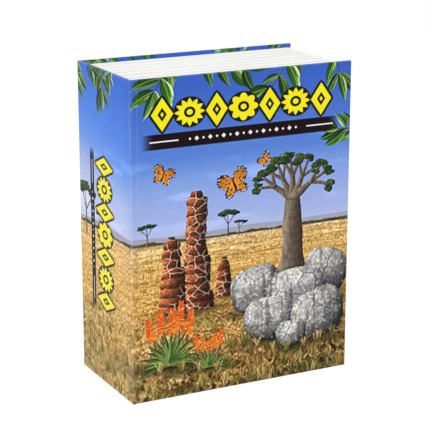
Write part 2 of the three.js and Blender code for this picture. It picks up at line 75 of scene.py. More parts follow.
# Colours are sRGB hex values; shaders and colour attributes take linear ones
def toLinear(values):
    return np.where(values <= 0.04045, values / 12.92, ((values + 0.055) / 1.055) ** 2.4)


def srgb(hexColour):
    return np.array([*bytes.fromhex(hexColour[1:])]) / 255


def linear(hexColour):
    return [*toLinear(srgb(hexColour)), 1.0]


# Gives a node's inputs, by name or number, values or links from outputs; a node stands for its first
def fill(tree, node, inputs):
    for name, value in inputs.items():
        if isinstance(value, bpy.types.Node):
            value = value.outputs[0]
        if isinstance(value, bpy.types.NodeSocket):
            tree.links.new(value, node.inputs[name])
        else:
            node.inputs[name].default_value = value


# Adds a node with its inputs and its other settings
def addNode(tree, kind, inputs={}, **attributes):
    node = tree.nodes.new("ShaderNode" + kind)
    for name, value in attributes.items():
        setattr(node, name, value)
    fill(tree, node, inputs)
    return node


def newMaterial(name):
    material = bpy.data.materials.new(name)
    material.use_nodes = True
    return material, material.node_tree, material.node_tree.nodes["Principled BSDF"]


# What scales a place in metres so that one noise cell has these sizes in mm
def perCell(sizes):
    return [1 / (size * mm) for size in sizes]


def stacked(*columns):
    return np.stack(columns, axis=-1)


# A mesh turned outwards, from points in mm and tables of faces with as many corners each. Values
# go to the points as attributes, those of four columns as colours
def makePiece(name, points, faceTables, material, body=None, slot=None, node=None, smooth=True, values={}):
    mesh = bpy.data.meshes.new(name)
    faces = sum([table.tolist() for table in faceTables], [])
    mesh.from_pydata(np.asarray(points, float) * mm, [], faces, shade_flat=not smooth)
    shape = bmesh.new()
    shape.from_mesh(mesh)
    bmesh.ops.recalc_face_normals(shape, faces=shape.faces)
    shape.to_mesh(mesh)
    shape.free()
    if smooth:
        mesh.set_sharp_from_angle(angle=sharpAngle)
    for label, amounts in values.items():
        coloured = amounts.ndim == 2
        layers = mesh.color_attributes if coloured else mesh.attributes
        layer = layers.new(name=label, type="FLOAT_COLOR" if coloured else "FLOAT", domain="POINT")
        layer.data.foreach_set("color" if coloured else "value", amounts.astype(np.float32).ravel())
    mesh.materials.append(material)
    piece = bpy.data.objects.new(name, mesh)
    bpy.context.scene.collection.objects.link(piece)
    if body:
        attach(piece, body)
    if node:
        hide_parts(node)
    return piece


# The numbers of a grid's points; where it closes, its first row or column follows the last again
def numbered(rows, columns, closeRows=0, closeColumns=0):
    table = np.arange(rows * columns).reshape(rows, columns)
    return np.pad(table, ((0, closeRows), (0, closeColumns)), mode="wrap")


# Four-sided faces between neighbours in a table of point numbers
def quads(table):
    return stacked(table[:-1, :-1], table[:-1, 1:], table[1:, 1:], table[1:, :-1]).reshape(-1, 4)


# Faces between loops of points, one a row
def bands(loops):
    return quads(np.pad(loops, ((0, 0), (0, 1)), mode="wrap"))


# The point numbers round a table's edge, in order
def rimOf(table):
    return np.concatenate([table[0, :-1], table[:-1, -1], table[-1, :0:-1], table[:0:-1, 0]])


# A closed strip: a section, which is a loop of points, repeated at a row of heights
def stripOf(section, heights):
    table = numbered(len(heights), len(section))
    points = np.column_stack([np.tile(section, (len(heights), 1)), np.repeat(heights, len(section))])
    return points, [bands(table), table[:1], table[-1:, ::-1]]


# Several meshes as one, whose point numbers follow on
def together(meshes):
    starts = np.cumsum([0] + [len(points) for points, _ in meshes])
    faces = [table + start for (_, tables), start in zip(meshes, starts) for table in tables]
    return np.concatenate([points for points, _ in meshes]), faces


def pointing(angle):
    return stacked(np.cos(angle), np.sin(angle))


# A node's lowest and highest corner in mm
def boxOf(node):
    return np.array(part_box(node)) / mm


# Places on the closed book
(spineFace, frontFace, _), (spineInside, backFace, bookHeight) = boxOf("spine_wrap")
(coverStart, _, _), (foreEdge, _, _) = boxOf("front_wrap")
pagesLow, pagesHigh = boxOf("page_block")
bookThickness = backFace - frontFace
coverThickness = spineInside - spineFace


# Camera, floor and lamps
stage = {
    "floorColour": "#fafafa",
    "floorSize": 3.0,
    "floorGlow": 0.55,         # share of plain white in what the camera sees of the floor
    "floorGlowLevel": 1.3,
    "worldLevel": 0.72,
    "lamps": [                 # watts, size and place in metres
        ("keyLamp", 10.0, 0.9, (0.5, -1.2, 1.8)),
        ("fillLamp", 8.0, 1.2, (-1.5, -0.5, 0.9)),
    ],
    "cameraYaw": 27.17,        # degrees round the book, on the spine's side
    "cameraPitch": 15.275,     # degrees above the horizon
    "cameraDistance": 4.985,   # heights of the book from its middle
    "aimRight": 0.002,         # heights of the book
    "aimUp": 0.005,
    "focalPixels": 1570.3,
    "pictureWidth": 430,       # pixels
    "sensorWidth": 36.0,
}


# Adds a camera or a lamp that looks along a direction
def addAimed(name, data, place, direction):
    item = bpy.data.objects.new(name, data)
    item.location = place
    item.rotation_mode = "QUATERNION"
    item.rotation_quaternion = direction.to_track_quat("-Z", "Y")
    bpy.context.scene.collection.objects.link(item)
    return item


def makeCamera():
    yaw, pitch = math.radians(stage["cameraYaw"]), math.radians(stage["cameraPitch"])
    forward = Vector((math.sin(yaw) * math.cos(pitch), math.cos(yaw) * math.cos(pitch), -math.sin(pitch)))
    right = Vector((math.cos(yaw), -math.sin(yaw), 0))
    offset = right * stage["aimRight"] + right.cross(forward) * stage["aimUp"]
    place = (cadLow + cadHigh) / 2 + (offset - forward * stage["cameraDistance"]) * bookHeight * mm
    data = bpy.data.cameras.new("camera")
    data.sensor_width = stage["sensorWidth"]
    data.lens = stage["focalPixels"] / stage["pictureWidth"] * stage["sensorWidth"]
    bpy.context.scene.camera = addAimed("camera", data, place, forward)


# 1 for camera, glossy and transmission rays, which see plain white; 0 for the light on the object
def seenDirectly(tree):
    rays = addNode(tree, "LightPath").outputs
    seen = addNode(tree, "Math", {0: rays["Is Camera Ray"], 1: rays["Is Glossy Ray"]}, operation="MAXIMUM")
    return addNode(tree, "Math", {0: seen, 1: rays["Is Transmission Ray"]}, operation="MAXIMUM")


def makeStage():
    scene = bpy.context.scene
    scene.view_settings.view_transform = "Standard"
    scene.world = bpy.data.worlds.new("studio")
    scene.world.use_nodes = True
    tree = scene.world.node_tree
    dim, white = [addNode(tree, "Background", {"Color": (1, 1, 1, 1), "Strength": level})
                  for level in (stage["worldLevel"], 1.0)]
    mix = addNode(tree, "MixShader", {0: seenDirectly(tree), 1: dim, 2: white})
    fill(tree, tree.nodes["World Output"], {"Surface": mix})

    # White paper sweep: matt, glowing plain white to the camera where the object's shadow isn't
    material, tree, shader = newMaterial("matt white paper sweep")
    fill(tree, shader, {"Base Color": linear(stage["floorColour"]), "Roughness": 0.9,
                        "Specular IOR Level": 0.1})
    glow = addNode(tree, "Emission", {"Strength": stage["floorGlowLevel"]})
    share = addNode(tree, "Math", {0: seenDirectly(tree), 1: stage["floorGlow"]}, operation="MULTIPLY")
    mix = addNode(tree, "MixShader", {0: share, 1: shader, 2: glow})
    fill(tree, tree.nodes["Material Output"], {"Surface": mix})
    corners = np.array([[-1, -1, 0], [1, -1, 0], [1, 1, 0], [-1, 1, 0]]) * stage["floorSize"] / 2 / mm
    makePiece("floor", corners, [numbered(1, 4)], material, smooth=False)

    for name, watts, size, place in stage["lamps"]:
        data = bpy.data.lights.new(name, "AREA")
        data.energy = watts
        data.size = size
        addAimed(name, data, place, Vector((0, 0, bookHeight * mm / 2)) - Vector(place))


makeCamera()
makeStage()
print("stage made")

noiseCells = 256    # after so many cells a noise repeats


def unit(value):
    return np.clip(value, 0, 1)


# Eases a share from 0 to 1: 3 times its square less twice its cube
def ease(share):
    return share * share * (3 - 2 * share)


# 0 below low, 1 above high and eased between them
def ramp(value, low, high):
    return ease(unit((value - low) / (high - low)))


def blend(share, first, second):
    return first + (second - first) * share[:, None]


# A cell's random numbers
def drawnFor(table, column, row):
    return table[..., row % noiseCells, column % noiseCells]


# Smooth noise on a table of random numbers: blends the four nearest table values
def valueNoise(x, y, seed):
    table = np.random.default_rng(seed).random((noiseCells, noiseCells))
    column, row = np.floor(x).astype(int), np.floor(y).astype(int)
    across, along = ease(x - column), ease(y - row)
    low, high = [drawnFor(table, column, level) * (1 - across) + drawnFor(table, column + 1, level) * across
                 for level in (row, row + 1)]
    return low * (1 - along) + high * along


# Sum of noises, each twice as fine and half as strong, from 0 to 1
def noise(x, y, seed, layers=4):
    total = sum(valueNoise(x * 2 ** k, y * 2 ** k, seed + k) / 2 ** k for k in range(layers))
    return total / (2 - 2 ** (1 - layers))


# Distance to the nearest and second nearest of points scattered one to a cell
def cracks(x, y, seed):
    table = np.random.default_rng(seed).random((2, noiseCells, noiseCells))
    column, row = np.floor(x).astype(int), np.floor(y).astype(int)
    nearest = second = np.full(x.shape, 9.0)
    for cellX in (column - 1, column, column + 1):
        for cellY in (row - 1, row, row + 1):
            pointX, pointY = drawnFor(table, cellX, cellY)
            distance = np.hypot(cellX + pointX - x, cellY + pointY - y)
            second = np.minimum(second, np.maximum(nearest, distance))
            nearest = np.minimum(nearest, distance)
    return nearest, second


# How far places lie along and across a direction
def turned(s, t, angle):
    return s * math.cos(angle) + t * math.sin(angle), t * math.cos(angle) - s * math.sin(angle)


# The printed picture, in mm on the flat wrap sheet: s is 0 at the spine's front corner, runs to
# the fore-edge on the front and to minus the book's thickness at the spine's back corner, and t
# is the height. It is a made-up dry grassland with rocks, a thick-stemmed tree and butterflies.
# Inks run upwards in sky and grass, and from dark to light in things
picture = {
    "cell": 0.6,
    "horizon": 131.0,
    "skyHeights": [131, 145, 165, 183, 200, 265],
    "spineSkyHeights": [131, 168, 192, 220, 265],
    "spineHaze": 22.0,        # mm that the pale air stands higher at the spine's back corner
    "grassHeights": [0, 25, 60, 95, 120, 131],
    "dustTint": [0.20, 0.12, 0.02],
    "rockTint": [0.16, 0.03, -0.14],
    "bed": 8.0,               # height of a pillar's beds
    "sharpenReach": 1.2,
    "sharpenBy": 0.6,
    "inks": {
        "sky": "#b8c2e6 #a4b5e5 #93aae3 #7c9ce0 #5781d3 #365dbe",
        "spineSky": "#c9cfeb #aabbe8 #7099e6 #4f82e2 #3869d1",
        "hill": "#9a9aa8",
        "brush": "#3d3b2b #75684c",
        "grass": "#7d6434 #9a7840 #bd914c #d0a157 #dcb36b #d3b27c",
        # pale gold that the spine's grass is blended towards: painted light
        "spineGrassPaintedLight": "#f2d08a",
        "grassLine": "#9a7a45",
        "moss": "#6c7a34",
        "green": "#5e6b2c #7d8338 #b59a4c #8f7a35",
        "gold": "#d9b469 #b88f47 #8a6a36 #e2c283",
        "shadow": "#4a3c22",
        "rockShadow": "#2e2415",
        "aloeShadow": "#2b2213",
        "rock": "#222226 #d6d5d2",
        "lichen": "#d8d5bf",
        "pillar": "#6b2f1c #a5532f #c8794a",
        "vein": "#eadcc4",
        "bark": "#3d3027 #a39683",
        "twig": "#26330f #7c8a45",
        "crown": "#20301a #5f7a33",
        "backBlade": "#15210f #5c7a3c",
        "frontBlade": "#1d2d12 #86a350",
        "redFlower": "#a32410 #f2742a",
        "goldFlower": "#c9511c #f7b03a",
        "leaf": "#17330c #4f9420 #e2f0b4",
        "wing": "#1e1613 #e08a2c #f6e3c3",
        "band": "#150205",
        # paler laminate at creases and a painted highlight along the edges
        "creaseAndHighlight": "#dfe8fb",
    },
}
ink = {name: np.array([srgb(tone) for tone in tones.split()]) for name, tones in picture["inks"].items()}


class Canvas:
    # Holds the sheet's points and the colour and texture shares painted at each so far
    def __init__(self, s, t):
        self.s = s
        self.t = t
        self.order = np.argsort(t, kind="stable")
        self.rgb = np.zeros((len(s), 3))
        self.grass, self.rock = np.zeros((2, len(s)))

    # Lays a colour over the points in reach, by its share at each point
    def lay(self, colour, share, grass=0.0, rock=0.0, where=slice(None)):
        share = unit(share)
        self.rgb[where] += (colour - self.rgb[where]) * share[:, None]
        self.grass[where] += (grass - self.grass[where]) * share
        self.rock[where] += (rock - self.rock[where]) * share

    # The points within a rectangle, and their places measured from an origin
    def near(self, low, high, origin=(0, 0)):
        first, last = np.searchsorted(self.t, [low[1], high[1]], sorter=self.order)
        level = self.order[first:last]
        reach = level[(self.s[level] >= low[0]) & (self.s[level] <= high[0])]
        return reach, self.s[reach] - origin[0], self.t[reach] - origin[1]

    # A soft shadow on the ground, by a bell curve of the distance from its middle
    def shade(self, s, t, wide, tall, tone, strength, grass):
        bell = np.exp(-((self.s - s) / wide) ** 2 - ((self.t - t) / tall) ** 2)
        self.lay(ink[tone], bell * strength, grass)


# Colours between those given at heights
def gradient(value, heights, colours):
    return stacked(*[np.interp(value, heights, part) for part in colours.T])


# 1 on the spine, fading out over its two corners
def spineShare(s):
    return ramp(-s, -5, 9) * ramp(bookThickness + s, -40, 6)


# Colours by height, brightened by a noise drawn out sideways, as haze, and by a fine one, as grain
def paintSky(canvas):
    s, t = canvas.s, canvas.t
    higher = picture["spineHaze"] * (unit(-s / bookThickness) - 0.35)
    sky = blend(spineShare(s), gradient(t, picture["skyHeights"], ink["sky"]),
                gradient(t - higher, picture["spineSkyHeights"], ink["spineSky"]))
    haze = ramp(noise(s / 46, t / 13, 11, 5), 0.55, 0.85) * ramp(t, 128, 150) * ramp(230 - t, 0, 50) * 0.10
    grain = (noise(s / 2.2, t / 2.2, 12, 2) - 0.5) * 0.02
    canvas.lay(sky + (haze + grain)[:, None], 1 + 0 * s)


# Grass whose blades, clumps and dust are noises that grow with nearness, on places bent by noise; on the
# spine its colour is lightened as painted light
def paintGround(canvas):
    s, t = canvas.s, canvas.t
    below = picture["horizon"] - t
    canvas.lay(ink["hill"], ramp(below + 3 + 6 * noise(s / 55, s * 0 + 3.3, 21, 3), -0.8, 0.8) * 0.75)
    brush = ramp(below + 0.6 + 4.5 * noise(s / 9, s * 0 + 1.7, 22, 4) ** 1.5, -0.6, 0.6)
    canvas.lay(blend(noise(s / 3, t / 2, 23, 3), *ink["brush"]), brush, rock=0.4)
    depth = np.clip(below / picture["horizon"], 0, 1.2)
    near = ramp(depth, 0.1, 0.8)
    bendS = s + 9 * noise(s / 21, t / 13, 31, 3) + 3 * noise(s / 4.1, t / 3.7, 32, 2)
    bendT = t + 7 * noise(s / 17 + 4, t / 9, 33, 3)
    blade = noise(bendS / (0.9 + 1.5 * near), bendT / (1.1 + 4.5 * near), 24, 4)
    lean = noise((bendS + 0.5 * bendT) / (1.4 + 2.0 * near), (bendT - 0.4 * bendS) / (2 + 9 * near), 34, 3)
    patch = noise(bendS / 37, bendT / (2 + 17 * near), 25, 4)
    speck = noise(bendS / 1.9, bendT / (1.4 + 1.0 * near), 36, 2)
    dust = noise(s / 58 + 2, t / (5 + 20 * near), 35, 4)
    light = (blade - 0.5) * (0.16 + 0.34 * near) + (lean - 0.5) * 0.24 * near + (patch - 0.5) * 0.34
    light += (speck - 0.5) * (0.26 + 0.42 * near)
    grass = gradient(t, picture["grassHeights"], ink["grass"]) + light[:, None]
    grass += np.multiply.outer(dust - 0.5, picture["dustTint"])
    # Painted light: the spine's grass is blended towards a pale gold, more so towards its foot, so that the
    # spine, turned from the key lamp, reads lighter
    grass = blend(spineShare(s) * (0.30 + 0.16 * ramp(-t, -70, 0)), grass, ink["spineGrassPaintedLight"])
    canvas.lay(unit(grass), ramp(below, -0.7, 0.7), grass=1.0)
    sparse = 1 - 0.45 * spineShare(s)
    green = ramp(noise(bendS / 19 + 5, bendT / 8, 26, 4), 0.50, 0.70) * ramp(depth, 0.35, 0.80) * 0.6
    canvas.lay(ink["moss"] * (0.45 + 1.1 * blade)[:, None], green * sparse, grass=1.0)
    dark = ramp(noise(bendS / 12, bendT / 5 + 9, 27, 4), 0.55, 0.74) * ramp(depth, 0.40, 0.95) * 0.62
    canvas.lay(ink["shadow"], dark * sparse, grass=1.0)
    line = ramp(noise(s / 40, t / 2.2, 28, 4), 0.58, 0.75) * ramp(below, 0, 6) * ramp(t, 85, 110) * 0.45
    canvas.lay(ink["grassLine"], line, grass=0.8)


# Blades: curved tapering strokes from a root point, laid one by one in a seeded order
def paintTuft(canvas, root, height, spread, count, seed, tones):
    random = np.random.default_rng(seed)
    for _ in range(count):
        lean = random.normal(0, spread)
        tall = height * random.uniform(0.55, 1.0)
        start = root[0] + random.normal(0, spread * height * 0.35)
        base = root[1] + random.uniform(-1.5, 1.5)
        tip = start + lean * tall
        reach, s, t = canvas.near((min(start, tip) - 3, base - 1), (max(start, tip) + 3, base + tall + 1))
        if not len(reach):
            continue
        up = unit((t - base) / tall)
        half = (0.12 + 0.55 * (1 - up)) * random.uniform(0.7, 1.3)
        share = ramp(half - np.abs(s - start - (tip - start) * up ** 1.8), -0.45, 0.35)
        share *= (t >= base) * (t <= base + tall) * (0.60 + 0.35 * up)
        tone = tones[random.integers(len(tones))] * random.uniform(0.7, 1.2)
        canvas.lay(unit(tone * (0.72 + 0.4 * up)[:, None]), share, grass=0.3, where=reach)


# Tufts, lower the higher they stand on the sheet; every third one takes the other tones
def paintTufts(canvas, places, height, less, spread, count, seed, other):
    for index, place in enumerate(places):
        tones = ink["gold" if index % 3 else other]
        paintTuft(canvas, place, height - place[1] * less, spread, count, seed + index, tones)


# A superellipse bent by noise and lit from the upper left, with facets, clefts, stains and lichen
def paintBoulder(canvas, centre, size, tilt, seed, light):
    canvas.shade(centre[0], centre[1] - size[1], size[0] * 1.25, 5, "rockShadow", 0.75, 0.6)
    pad = np.array(size) * 1.3
    reach, s, t = canvas.near(centre - pad, centre + pad, centre)
    if not len(reach):
        return
    x, y = turned(s, t, tilt)
    x = x / size[0] + 0.16 * (noise(s / 13 + seed, t / 13, seed, 3) - 0.5)
    y = y / size[1] + 0.16 * (noise(s / 11 + 4, t / 11 + seed, seed + 1, 3) - 0.5)
    radius = (np.abs(x) ** 2.7 + np.abs(y) ** 2.5) ** (1 / 2.6)
    share = ramp(1 - radius, -0.5 / size[1], 0.7 / size[1])
    rise = np.sqrt(unit(1.02 - radius ** 2))
    facet, nextFacet = cracks(s / 17 + seed, t / 15 + 3, seed + 9)
    bumps = noise(s / 9 + 2, t / 8 + seed, seed + 12, 2) - 0.5
    lit = np.clip(0.34 - 0.30 * x + 0.46 * y + 0.42 * rise + 0.35 * bumps, 0.03, 1.15) * light
    grain = noise(s / 2.4, t / 2.4, seed + 5, 4)
    cleft = 1 - (1 - ramp(nextFacet - facet, 0.0, 0.10)) * (0.35 + 0.65 * ramp(grain, 0.35, 0.6))
    hair = ramp(np.abs(noise(s / 10, t / 26 + 3, seed + 7, 4) - 0.5), 0.0, 0.03)
    stain = ramp(noise(s / 4 + 2, t / 26, seed + 3, 4), 0.50, 0.70)
    rim = 1 - 0.55 * ramp(radius, 0.80, 1.02) * ramp(-y + 0.3 * x, -0.6, 0.6)
    lit *= (0.62 + 0.76 * grain) * (0.55 + 0.45 * cleft) * (0.72 + 0.28 * hair) * (1 - 0.30 * stain) * rim
    warm = ramp(noise(s / 7, t / 6 + seed, seed + 15, 3), 0.55, 0.75) * 0.35
    colour = blend(unit(lit), *ink["rock"]) * (1 + np.multiply.outer(warm, picture["rockTint"]))
    lichen = (cracks(s / 5 + seed, t / 5, seed + 20)[0] < 0.2) & (grain > 0.5)
    canvas.lay(unit(blend(lichen * 0.45, colour, ink["lichen"])), share, rock=1.0, where=reach)


# Weathered sandstone pillar: half widths at heights, with rough beds of blocks across it; each
# block has its own tone, and pale mineral seams run between them
def paintPillar(canvas, middle, foot, heights, halves, seed):
    canvas.shade(middle + halves[0] * 0.7, foot, halves[0] * 1.6, 3.5, "shadow", 0.8, 0.8)
    top = foot + heights[-1]
    pad = max(halves) * 1.5
    reach, s, t = canvas.near((middle - pad, foot - 2), (middle + pad, top + 4))
    if not len(reach):
        return
    sway = 2.6 * (noise(t / 26, t * 0 + seed, seed, 3) - 0.5)
    bedding = (t + 3.4 * noise(s / 12, t / 15, seed + 2, 3)) / picture["bed"]
    bed = np.floor(bedding)
    ledge = 3.4 * (valueNoise(bed * 0.71, bed * 0 + seed, seed + 6) - 0.5)
    ragged = 2.4 * (noise(s / 30, t / 3.5, seed + 1, 3) - 0.5)
    half = np.interp(t - foot, heights, halves) + ragged + ledge
    across = (s - middle - sway) / np.maximum(half, 0.5)
    share = ramp((1 - np.abs(across)) * half, -0.5, 0.5) * ramp(top - t + 2 * ragged, -0.6, 0.6)
    share *= ramp(t - foot, -1.5, 1.0)
    block = np.floor((s + 30 + 4.5 * valueNoise(bed * 1.3, t / 6, seed + 7)) / 9.5 + 0.5 * (bed % 2))
    dark, warm, light = ink["pillar"]
    colour = blend(valueNoise(block * 1.7, bed * 1.3, seed + 8), dark, warm)
    lit = np.clip(0.66 - 0.46 * across + 0.14 * np.sqrt(unit(1 - across ** 2)), 0.2, 1.2)
    relief = 0.62 + 0.5 * ramp(bedding - bed, 0.0, 0.9)
    grain = 0.68 + 0.64 * noise(s / 1.8, t / 1.3, seed + 9, 3)
    colour = blend(unit(lit - 0.6) * 1.2, colour, light) * (lit * relief * grain)[:, None]
    seam, nextSeam = cracks(s / 8.2 + 3, t / 6.6, seed + 4)
    vein = (1 - ramp(nextSeam - seam, 0.03, 0.12)) * ramp(noise(s / 9, t / 9, seed + 11, 3), 0.30, 0.5)
    colour = blend(vein * 0.85, colour, ink["vein"] * (0.45 + 0.55 * unit(lit))[:, None])
    canvas.lay(unit(colour), share, rock=0.9, where=reach)


# A tapering limb between two points, lit from the left of the page
def paintLimb(canvas, start, end, thick, thin, seed, tones="bark"):
    pad = thick + 2
    reach, s, t = canvas.near(np.minimum(start, end) - pad, np.maximum(start, end) + pad, start)
    if not len(reach):
        return
    run = np.subtract(end, start)
    along = unit((s * run[0] + t * run[1]) / max(run @ run, 1e-12))
    offS = s - along * run[0]
    offT = t - along * run[1]
    radius = thick + (thin - thick) * along
    s, t = canvas.s[reach], canvas.t[reach]
    rough = (noise(s / 5, t / 12, seed, 3) - 0.5) * 0.35 * radius
    share = ramp(radius + rough - np.hypot(offS, offT), -0.5, 0.5)
    lit = unit(0.5 + (0.15 * offT - 0.5 * offS) / np.maximum(radius, 0.3))
    grain = 0.55 + 0.7 * noise(s / 1.6, t / 7, seed + 2, 3)
    canvas.lay(blend(unit(lit * grain), *ink[tones]), share, rock=0.8, where=reach)


# An ellipse with an edge that noise tears, lit from the upper left and mottled by a finer noise
def paintCrown(canvas, centre, size, seed):
    pad = np.array(size) * (1.4, 1.6)
    reach, s, t = canvas.near(centre - pad, centre + pad)
    if not len(reach):
        return
    x, y = (s - centre[0]) / size[0], (t - centre[1]) / size[1]
    share = ramp(1 - np.hypot(x, y) + (noise(s / 4.2, t / 3.4, seed, 4) - 0.5) * 1.3, 0.08, 0.22)
    lit = 0.30 + 0.35 * y - 0.2 * x + (noise(s / 1.6, t / 1.6, seed + 1, 3) - 0.5) * 1.3
    canvas.lay(blend(unit(lit), *ink["crown"]), share, rock=0.7, where=reach)


# Each limb carries two or three shorter ones, down to level 0; gives the places of the last ends
def growTree(canvas, start, heading, length, thick, seed, level=2, random=None):
    random = random or np.random.default_rng(seed)
    end = start + length * pointing(heading)
    paintLimb(canvas, start, end, thick, thick * 0.62, seed + level)
    count = (0, 2, 3)[level]
    crowns = [] if count else [end]
    for index in range(count):
        turn = (index - (count - 1) / 2) * random.uniform(0.45, 0.75) + random.normal(0, 0.12)
        crowns += growTree(canvas, end, heading + turn, length * random.uniform(0.55, 0.72),
                           thick * random.uniform(0.48, 0.6), seed, level - 1, random)
    return crowns


# A trunk in stretches whose width falls with height, then a fan of limbs with crowns at their ends
def paintThickTree(canvas, foot, height, seed):
    stretches = 9
    for index in range(stretches):
        low, high = [(foot[0], foot[1] + height * up / stretches) for up in (index, index + 1.2)]
        ups = (index / stretches, (index + 1) / stretches)
        halves = np.interp(ups, [0, 0.12, 0.55, 1.0], [0.21, 0.165, 0.15, 0.10]) * height
        paintLimb(canvas, low, high, *halves, seed)
    crowns = []
    for index, heading in enumerate((2.55, 2.05, 1.6, 1.15, 0.62)):
        start = (foot[0] - (heading - 1.57) * height * 0.07, foot[1] + height)
        crowns += growTree(canvas, start, heading, height * 0.26, height * 0.055, seed + 10 + index)
    for index, place in enumerate(crowns):
        paintCrown(canvas, place, (height * 0.085, height * 0.05), seed + 40 + index)


# A flat-topped tree: the crowns' heights are drawn together towards one
def paintFarTree(canvas, foot, height, seed):
    middle = foot[1] + height * 0.82
    for index, (s, t) in enumerate(growTree(canvas, foot, 1.57, height * 0.4, height * 0.035, seed)):
        paintCrown(canvas, (s, middle + (t - middle) * 0.4), (height * 0.20, height * 0.09), seed + 7 + index)


# A thick pointed blade that bends over: its middle line is a parabola from the root
def paintBlade(canvas, root, angle, length, half, droop, tones, seed):
    reach, s, t = canvas.near((root[0] - length - half, root[1] - length * 0.5),
                              (root[0] + length + half, root[1] + length), root)
    if not len(reach):
        return
    along, across = turned(s, t, angle)
    u = unit(along / length)
    side = (across + droop * u ** 2) / (half * (1 - u ** 1.6) + 0.05)
    share = ramp(1.0 - np.abs(side), 0, 0.35) * (u > 0) * (u < 1)
    lit = unit(0.55 - 0.35 * np.sign(math.cos(angle)) * side + 0.25 * u)
    streak = 0.6 + 0.8 * noise(u * length / 7, across / 0.9, seed, 3)
    canvas.lay(blend(unit(lit * streak), *ink[tones]), share, grass=0.2, where=reach)


# Rosette of blades, back ones first, with spikes of small hanging tube flowers above it
def paintAloe(canvas, root, size, seed):
    flowers, blades = 26, 15
    random = np.random.default_rng(seed)
    canvas.shade(root[0], root[1] - size * 0.08, size * 1.15, size * 0.2, "aloeShadow", 0.85, 0.5)
    for index in range(-2, 3):
        foot = np.add(root, (index * size * 0.17, 0))
        lean = index * 0.10 + random.normal(0, 0.03)
        rise = size * random.uniform(1.15, 1.55) * pointing(math.pi / 2 - lean)
        paintLimb(canvas, foot + (0, size * 0.2), foot + rise, size * 0.028, size * 0.018, seed)
        for flower in range(flowers):
            up = flower / flowers
            place = foot + (0.56 + 0.44 * up) * rise
            length = size * (0.17 - 0.09 * up)
            for hand in (-1, 1):
                turn = math.pi / 2 - lean - hand * (2.3 - 1.5 * up)
                tones = "redFlower" if random.random() < 0.5 + 0.4 * up else "goldFlower"
                paintBlade(canvas, place, turn, length, size * 0.030, 0, tones, seed + flower)
    for index in range(2 * blades):
        tones, fan, long = ("backBlade", 1.06, 1.0) if index < blades else ("frontBlade", 0.9, 0.72)
        angle = math.pi * (0.5 + (0.5 - index % blades / (blades - 1)) * fan) + random.normal(0, 0.05)
        length = size * random.uniform(0.72, 0.98) * long
        droop = size * 0.20 * math.cos(angle)
        paintBlade(canvas, root, angle, length, size * 0.085, droop, tones, seed + 60 + index)


# A lens-shaped leaf along a bowed midrib: one half dark, the other paler with a broken sheen
def paintLeaf(canvas, root, angle, length, half, bow, light, seed):
    middle = root + pointing(angle) * length / 2
    pad = length / 2 + half + abs(bow)
    reach, s, t = canvas.near(middle - pad, middle + pad, root)
    if not len(reach):
        return
    along, across = turned(s, t, angle)
    u = unit(along / length)
    v = across - bow * np.sin(math.pi * u)
    width = half * np.sin(math.pi * u ** 0.85) ** 0.9 * (1 + 0.05 * np.sin(u * length * 3)) + 0.01
    side = v / width
    share = ramp((1 - np.abs(side)) * width, -0.35, 0.35) * (u > 0) * (u < 1)
    rib = 1 - ramp(np.abs(v), 0.1, 0.55)
    veins = np.sin(u * length * 2.4 - np.abs(v) * 2.0)
    tone = 0.20 + 0.34 * side + 0.11 * veins + 0.35 * u + 0.6 * (light - 1)
    streak = ramp(noise(u * length / 7, side * 2.2 + seed, seed, 3), 0.38, 0.62)
    sheen = ramp(side, -0.05, 0.75) * streak * np.clip(light - 0.55, 0, 0.8) * 1.15
    dark, green, pale = ink["leaf"]
    colour = blend(unit(np.maximum(sheen, rib * 0.42)), blend(unit(tone), dark, green), pale)
    canvas.lay(colour, share, where=reach)


# A twig with leaves to both sides, hanging along an arc; some leaves catch the sun
def paintSpray(canvas, root, heading, length, leaves, leafLength, seed):
    random = np.random.default_rng(seed)
    place = np.array(root, float)
    for index in range(seed, seed + leaves):
        end = place + length / leaves * pointing(heading)
        paintLimb(canvas, place, end, 0.55, 0.45, index, "twig")
        for side in (-1, 1):
            turn = heading + side * random.uniform(0.35, 1.0)
            size = leafLength * random.uniform(0.7, 1.15)
            light = random.uniform(0.5, 1.45)
            half = size * random.uniform(0.14, 0.20)
            paintLeaf(canvas, end, turn, size, half, side * size * 0.06, light, index)
        place = end
        heading += random.normal(0.04, 0.12)
    paintLeaf(canvas, place, heading, leafLength, leafLength * 0.15, 0.5, 1.2, seed)


# Four wings by polar curves about the body: petals of cosine, dark rimmed, with pale spots
def paintButterfly(canvas, centre, size, turn, seed):
    pad = np.full(2, size * 1.1)
    reach, s, t = canvas.near(centre - pad, centre + pad, centre)
    if not len(reach):
        return
    x, y = turned(s / size, t / size, turn)
    distance = np.hypot(x, y)
    bearing = np.abs(np.arctan2(y, np.abs(x)))
    petal = np.where(y > 0, np.cos((bearing - 0.70) * 1.45), 0.72 * np.cos((bearing - 0.62) * 1.55))
    edge = unit(petal) * (1 + 0.04 * np.sin(bearing * 26)) - distance
    veins = (np.abs(np.sin(bearing * 9 + 0.6)) < 0.16) & (distance > 0.25)
    spots = (cracks(x * 9 + seed, y * 9, seed)[0] < 0.26) & (edge < 0.13) & (edge > 0.03)
    blotch = (cracks(x * 5 + seed, y * 5 + 2, seed + 1)[0] < 0.24) & (edge > 0.17)
    black, orange, pale = ink["wing"]
    rim = 1 - ramp(edge, 0.10, 0.17)
    colour = blend(unit(rim + veins * 0.8 + blotch), orange * (1.1 - 0.35 * distance)[:, None], black)
    canvas.lay(unit(blend(spots, colour, pale)), ramp(edge, -0.03, 0.03), where=reach)
    canvas.lay(black, ramp(0.055 - np.hypot(x, y * 0.16), -0.02, 0.02), where=reach)


# The dark band under the ornament, strong in its middle and fading out to both ends
def paintBand(canvas, upright, start, end, low, high, fade):
    along, across = (canvas.t, canvas.s) if upright else (canvas.s, canvas.t)
    inside = ramp(across - low, -0.4, 0.4) * ramp(high - across, -0.4, 0.4)
    canvas.lay(ink["band"], inside * ramp(along - start, 0, fade) * ramp(end - along, 0, fade))
